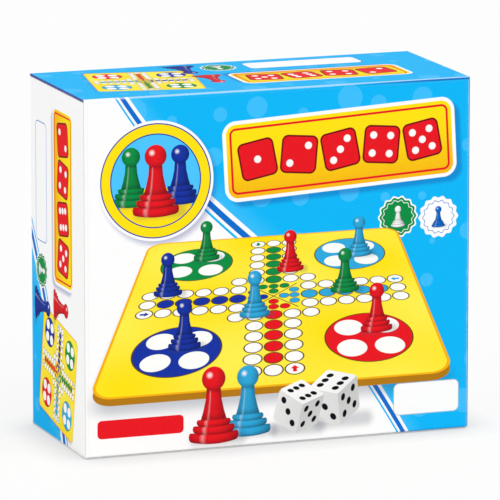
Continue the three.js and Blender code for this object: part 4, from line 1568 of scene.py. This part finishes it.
class LUDO_OT_stage(bpy.types.Operator):
    """Sets the camera, the lamps, the even light and the floor"""

    bl_idname = "ludo.stage"
    bl_label = "Stage"

    def execute(self, context):
        scene = context.scene
        scene.view_settings.view_transform = "Standard"
        for part in (self.camera, self.lamps, self.sky, self.floor):
            part(scene, scene.ludo_stage)
        return {"FINISHED"}

    def camera(self, scene, stage):
        """Stands off its aim by the distance, round it by the azimuth and up by the elevation."""
        a, e = math.radians(stage.azimuth), math.radians(stage.elevation)
        back = Vector((math.sin(a) * math.cos(e), -math.cos(a) * math.cos(e), math.sin(e)))
        camera = bpy.data.objects.new("camera", bpy.data.cameras.new("camera"))
        camera.data.lens = stage.lens
        camera.data.clip_end = VIEW_END
        camera.location = Vector(stage.aim) + back * stage.distance
        camera.rotation_euler = (-back).to_track_quat("-Z", "Y").to_euler()
        scene.collection.objects.link(camera)
        scene.camera = camera

    def lamps(self, scene, stage):
        """Two wide suns, each of which shines from its place to the middle."""
        for name, way, spread, strength in (
            ("key_lamp", (0.30, -0.55, 1.0), 55.0, stage.key),
            ("fill_lamp", (-1.0, -0.25, 0.45), 70.0, stage.fill),
        ):
            lamp = bpy.data.lights.new(name, "SUN")
            lamp.angle = math.radians(spread)
            lamp.energy = strength
            holder = bpy.data.objects.new(name, lamp)
            holder.location = way
            holder.rotation_euler = Vector(way).to_track_quat("Z", "Y").to_euler()
            scene.collection.objects.link(holder)

    def sky(self, scene, stage):
        """White where it is seen, and an even light of its own strength on the pieces."""
        world = bpy.data.worlds.new("studio")
        world.use_nodes = True
        tree = world.node_tree
        tree.nodes.clear()
        shade = tree.nodes.new("ShaderNodeBackground")
        shade.inputs["Color"].default_value = WHITE
        feed(shade.inputs["Strength"], seen_directly(tree) * (1.0 - stage.sky_light) + stage.sky_light)
        output = tree.nodes.new("ShaderNodeOutputWorld")
        tree.links.new(shade.outputs[0], output.inputs["Surface"])
        scene.world = world

    def floor(self, scene, stage):
        """A wide floor just under the carton, which shows partly as white light."""
        reach = np.array([-FLOOR_REACH, FLOOR_REACH])
        rows = np.column_stack([reach, reach])
        points, faces = carried(rows, reach, lambda x, y, _: (x, y, np.full_like(x, -FLOOR_DROP)))
        mesh = bpy.data.meshes.new("floor")
        mesh.from_pydata(points.tolist(), [], faces.tolist())
        floor = bpy.data.objects.new("floor", mesh)
        scene.collection.objects.link(floor)

        def paint(place):
            """A faint grain."""
            grain = noise(place, scale=0.01, detail=2.0)
            shade = mixed(grain * 0.01, ink(stage.floor), (0.9, 0.9, 0.9, 1.0))
            return {"Base Color": shade, "Roughness": grain * 0.1 + 0.8}

        surface = material("studio_floor", paint, **{"Specular IOR Level": 0.0})
        whitened(surface, stage)
        mesh.materials.append(surface)


class LUDO_PT_panel(bpy.types.Panel):
    """Lists the pieces of the boxed ludo game"""

    bl_idname = "LUDO_PT_panel"
    bl_label = "Boxed ludo game"
    bl_space_type = "VIEW_3D"
    bl_region_type = "UI"
    bl_category = "Ludo"

    def draw(self, context):
        """A button for each operator, then the settings."""
        for made in OPERATORS:
            self.layout.operator(made.bl_idname)
        for settings in (context.scene.ludo_carton, context.scene.ludo_pieces, context.scene.ludo_stage):
            box = self.layout.box()
            for name in settings.bl_rna.properties.keys():
                if name not in ("rna_type", "name"):
                    box.prop(settings, name)


SETTINGS = {"ludo_carton": LudoCarton, "ludo_pieces": LudoPieces, "ludo_stage": LudoStage}
OPERATORS = (
    LUDO_OT_stage,
    LUDO_OT_box_tray,
    LUDO_OT_cover,
    LUDO_OT_tuck_flap,
    LUDO_OT_insert,
    LUDO_OT_board,
    LUDO_OT_leaflet,
    LUDO_OT_pawns,
    LUDO_OT_dice,
)


def register():
    """Registers the settings, the operators and the panel."""
    for made in (*SETTINGS.values(), *OPERATORS, LUDO_PT_panel):
        bpy.utils.register_class(made)
    for name, made in SETTINGS.items():
        setattr(bpy.types.Scene, name, PointerProperty(type=made))


def unregister():
    """Takes them away again."""
    for name in SETTINGS:
        delattr(bpy.types.Scene, name)
    for made in reversed((*SETTINGS.values(), *OPERATORS, LUDO_PT_panel)):
        bpy.utils.unregister_class(made)


def main():
    register()
    bpy.ops.ludo.stage()
    bpy.ops.ludo.box_tray()
    bpy.ops.ludo.cover()
    bpy.ops.ludo.tuck_flap()
    bpy.ops.ludo.insert()
    bpy.ops.ludo.board()
    bpy.ops.ludo.leaflet()
    bpy.ops.ludo.pawns()
    bpy.ops.ludo.dice()
    bpy.context.view_layer.update()


if __name__ == "__main__":
    main()
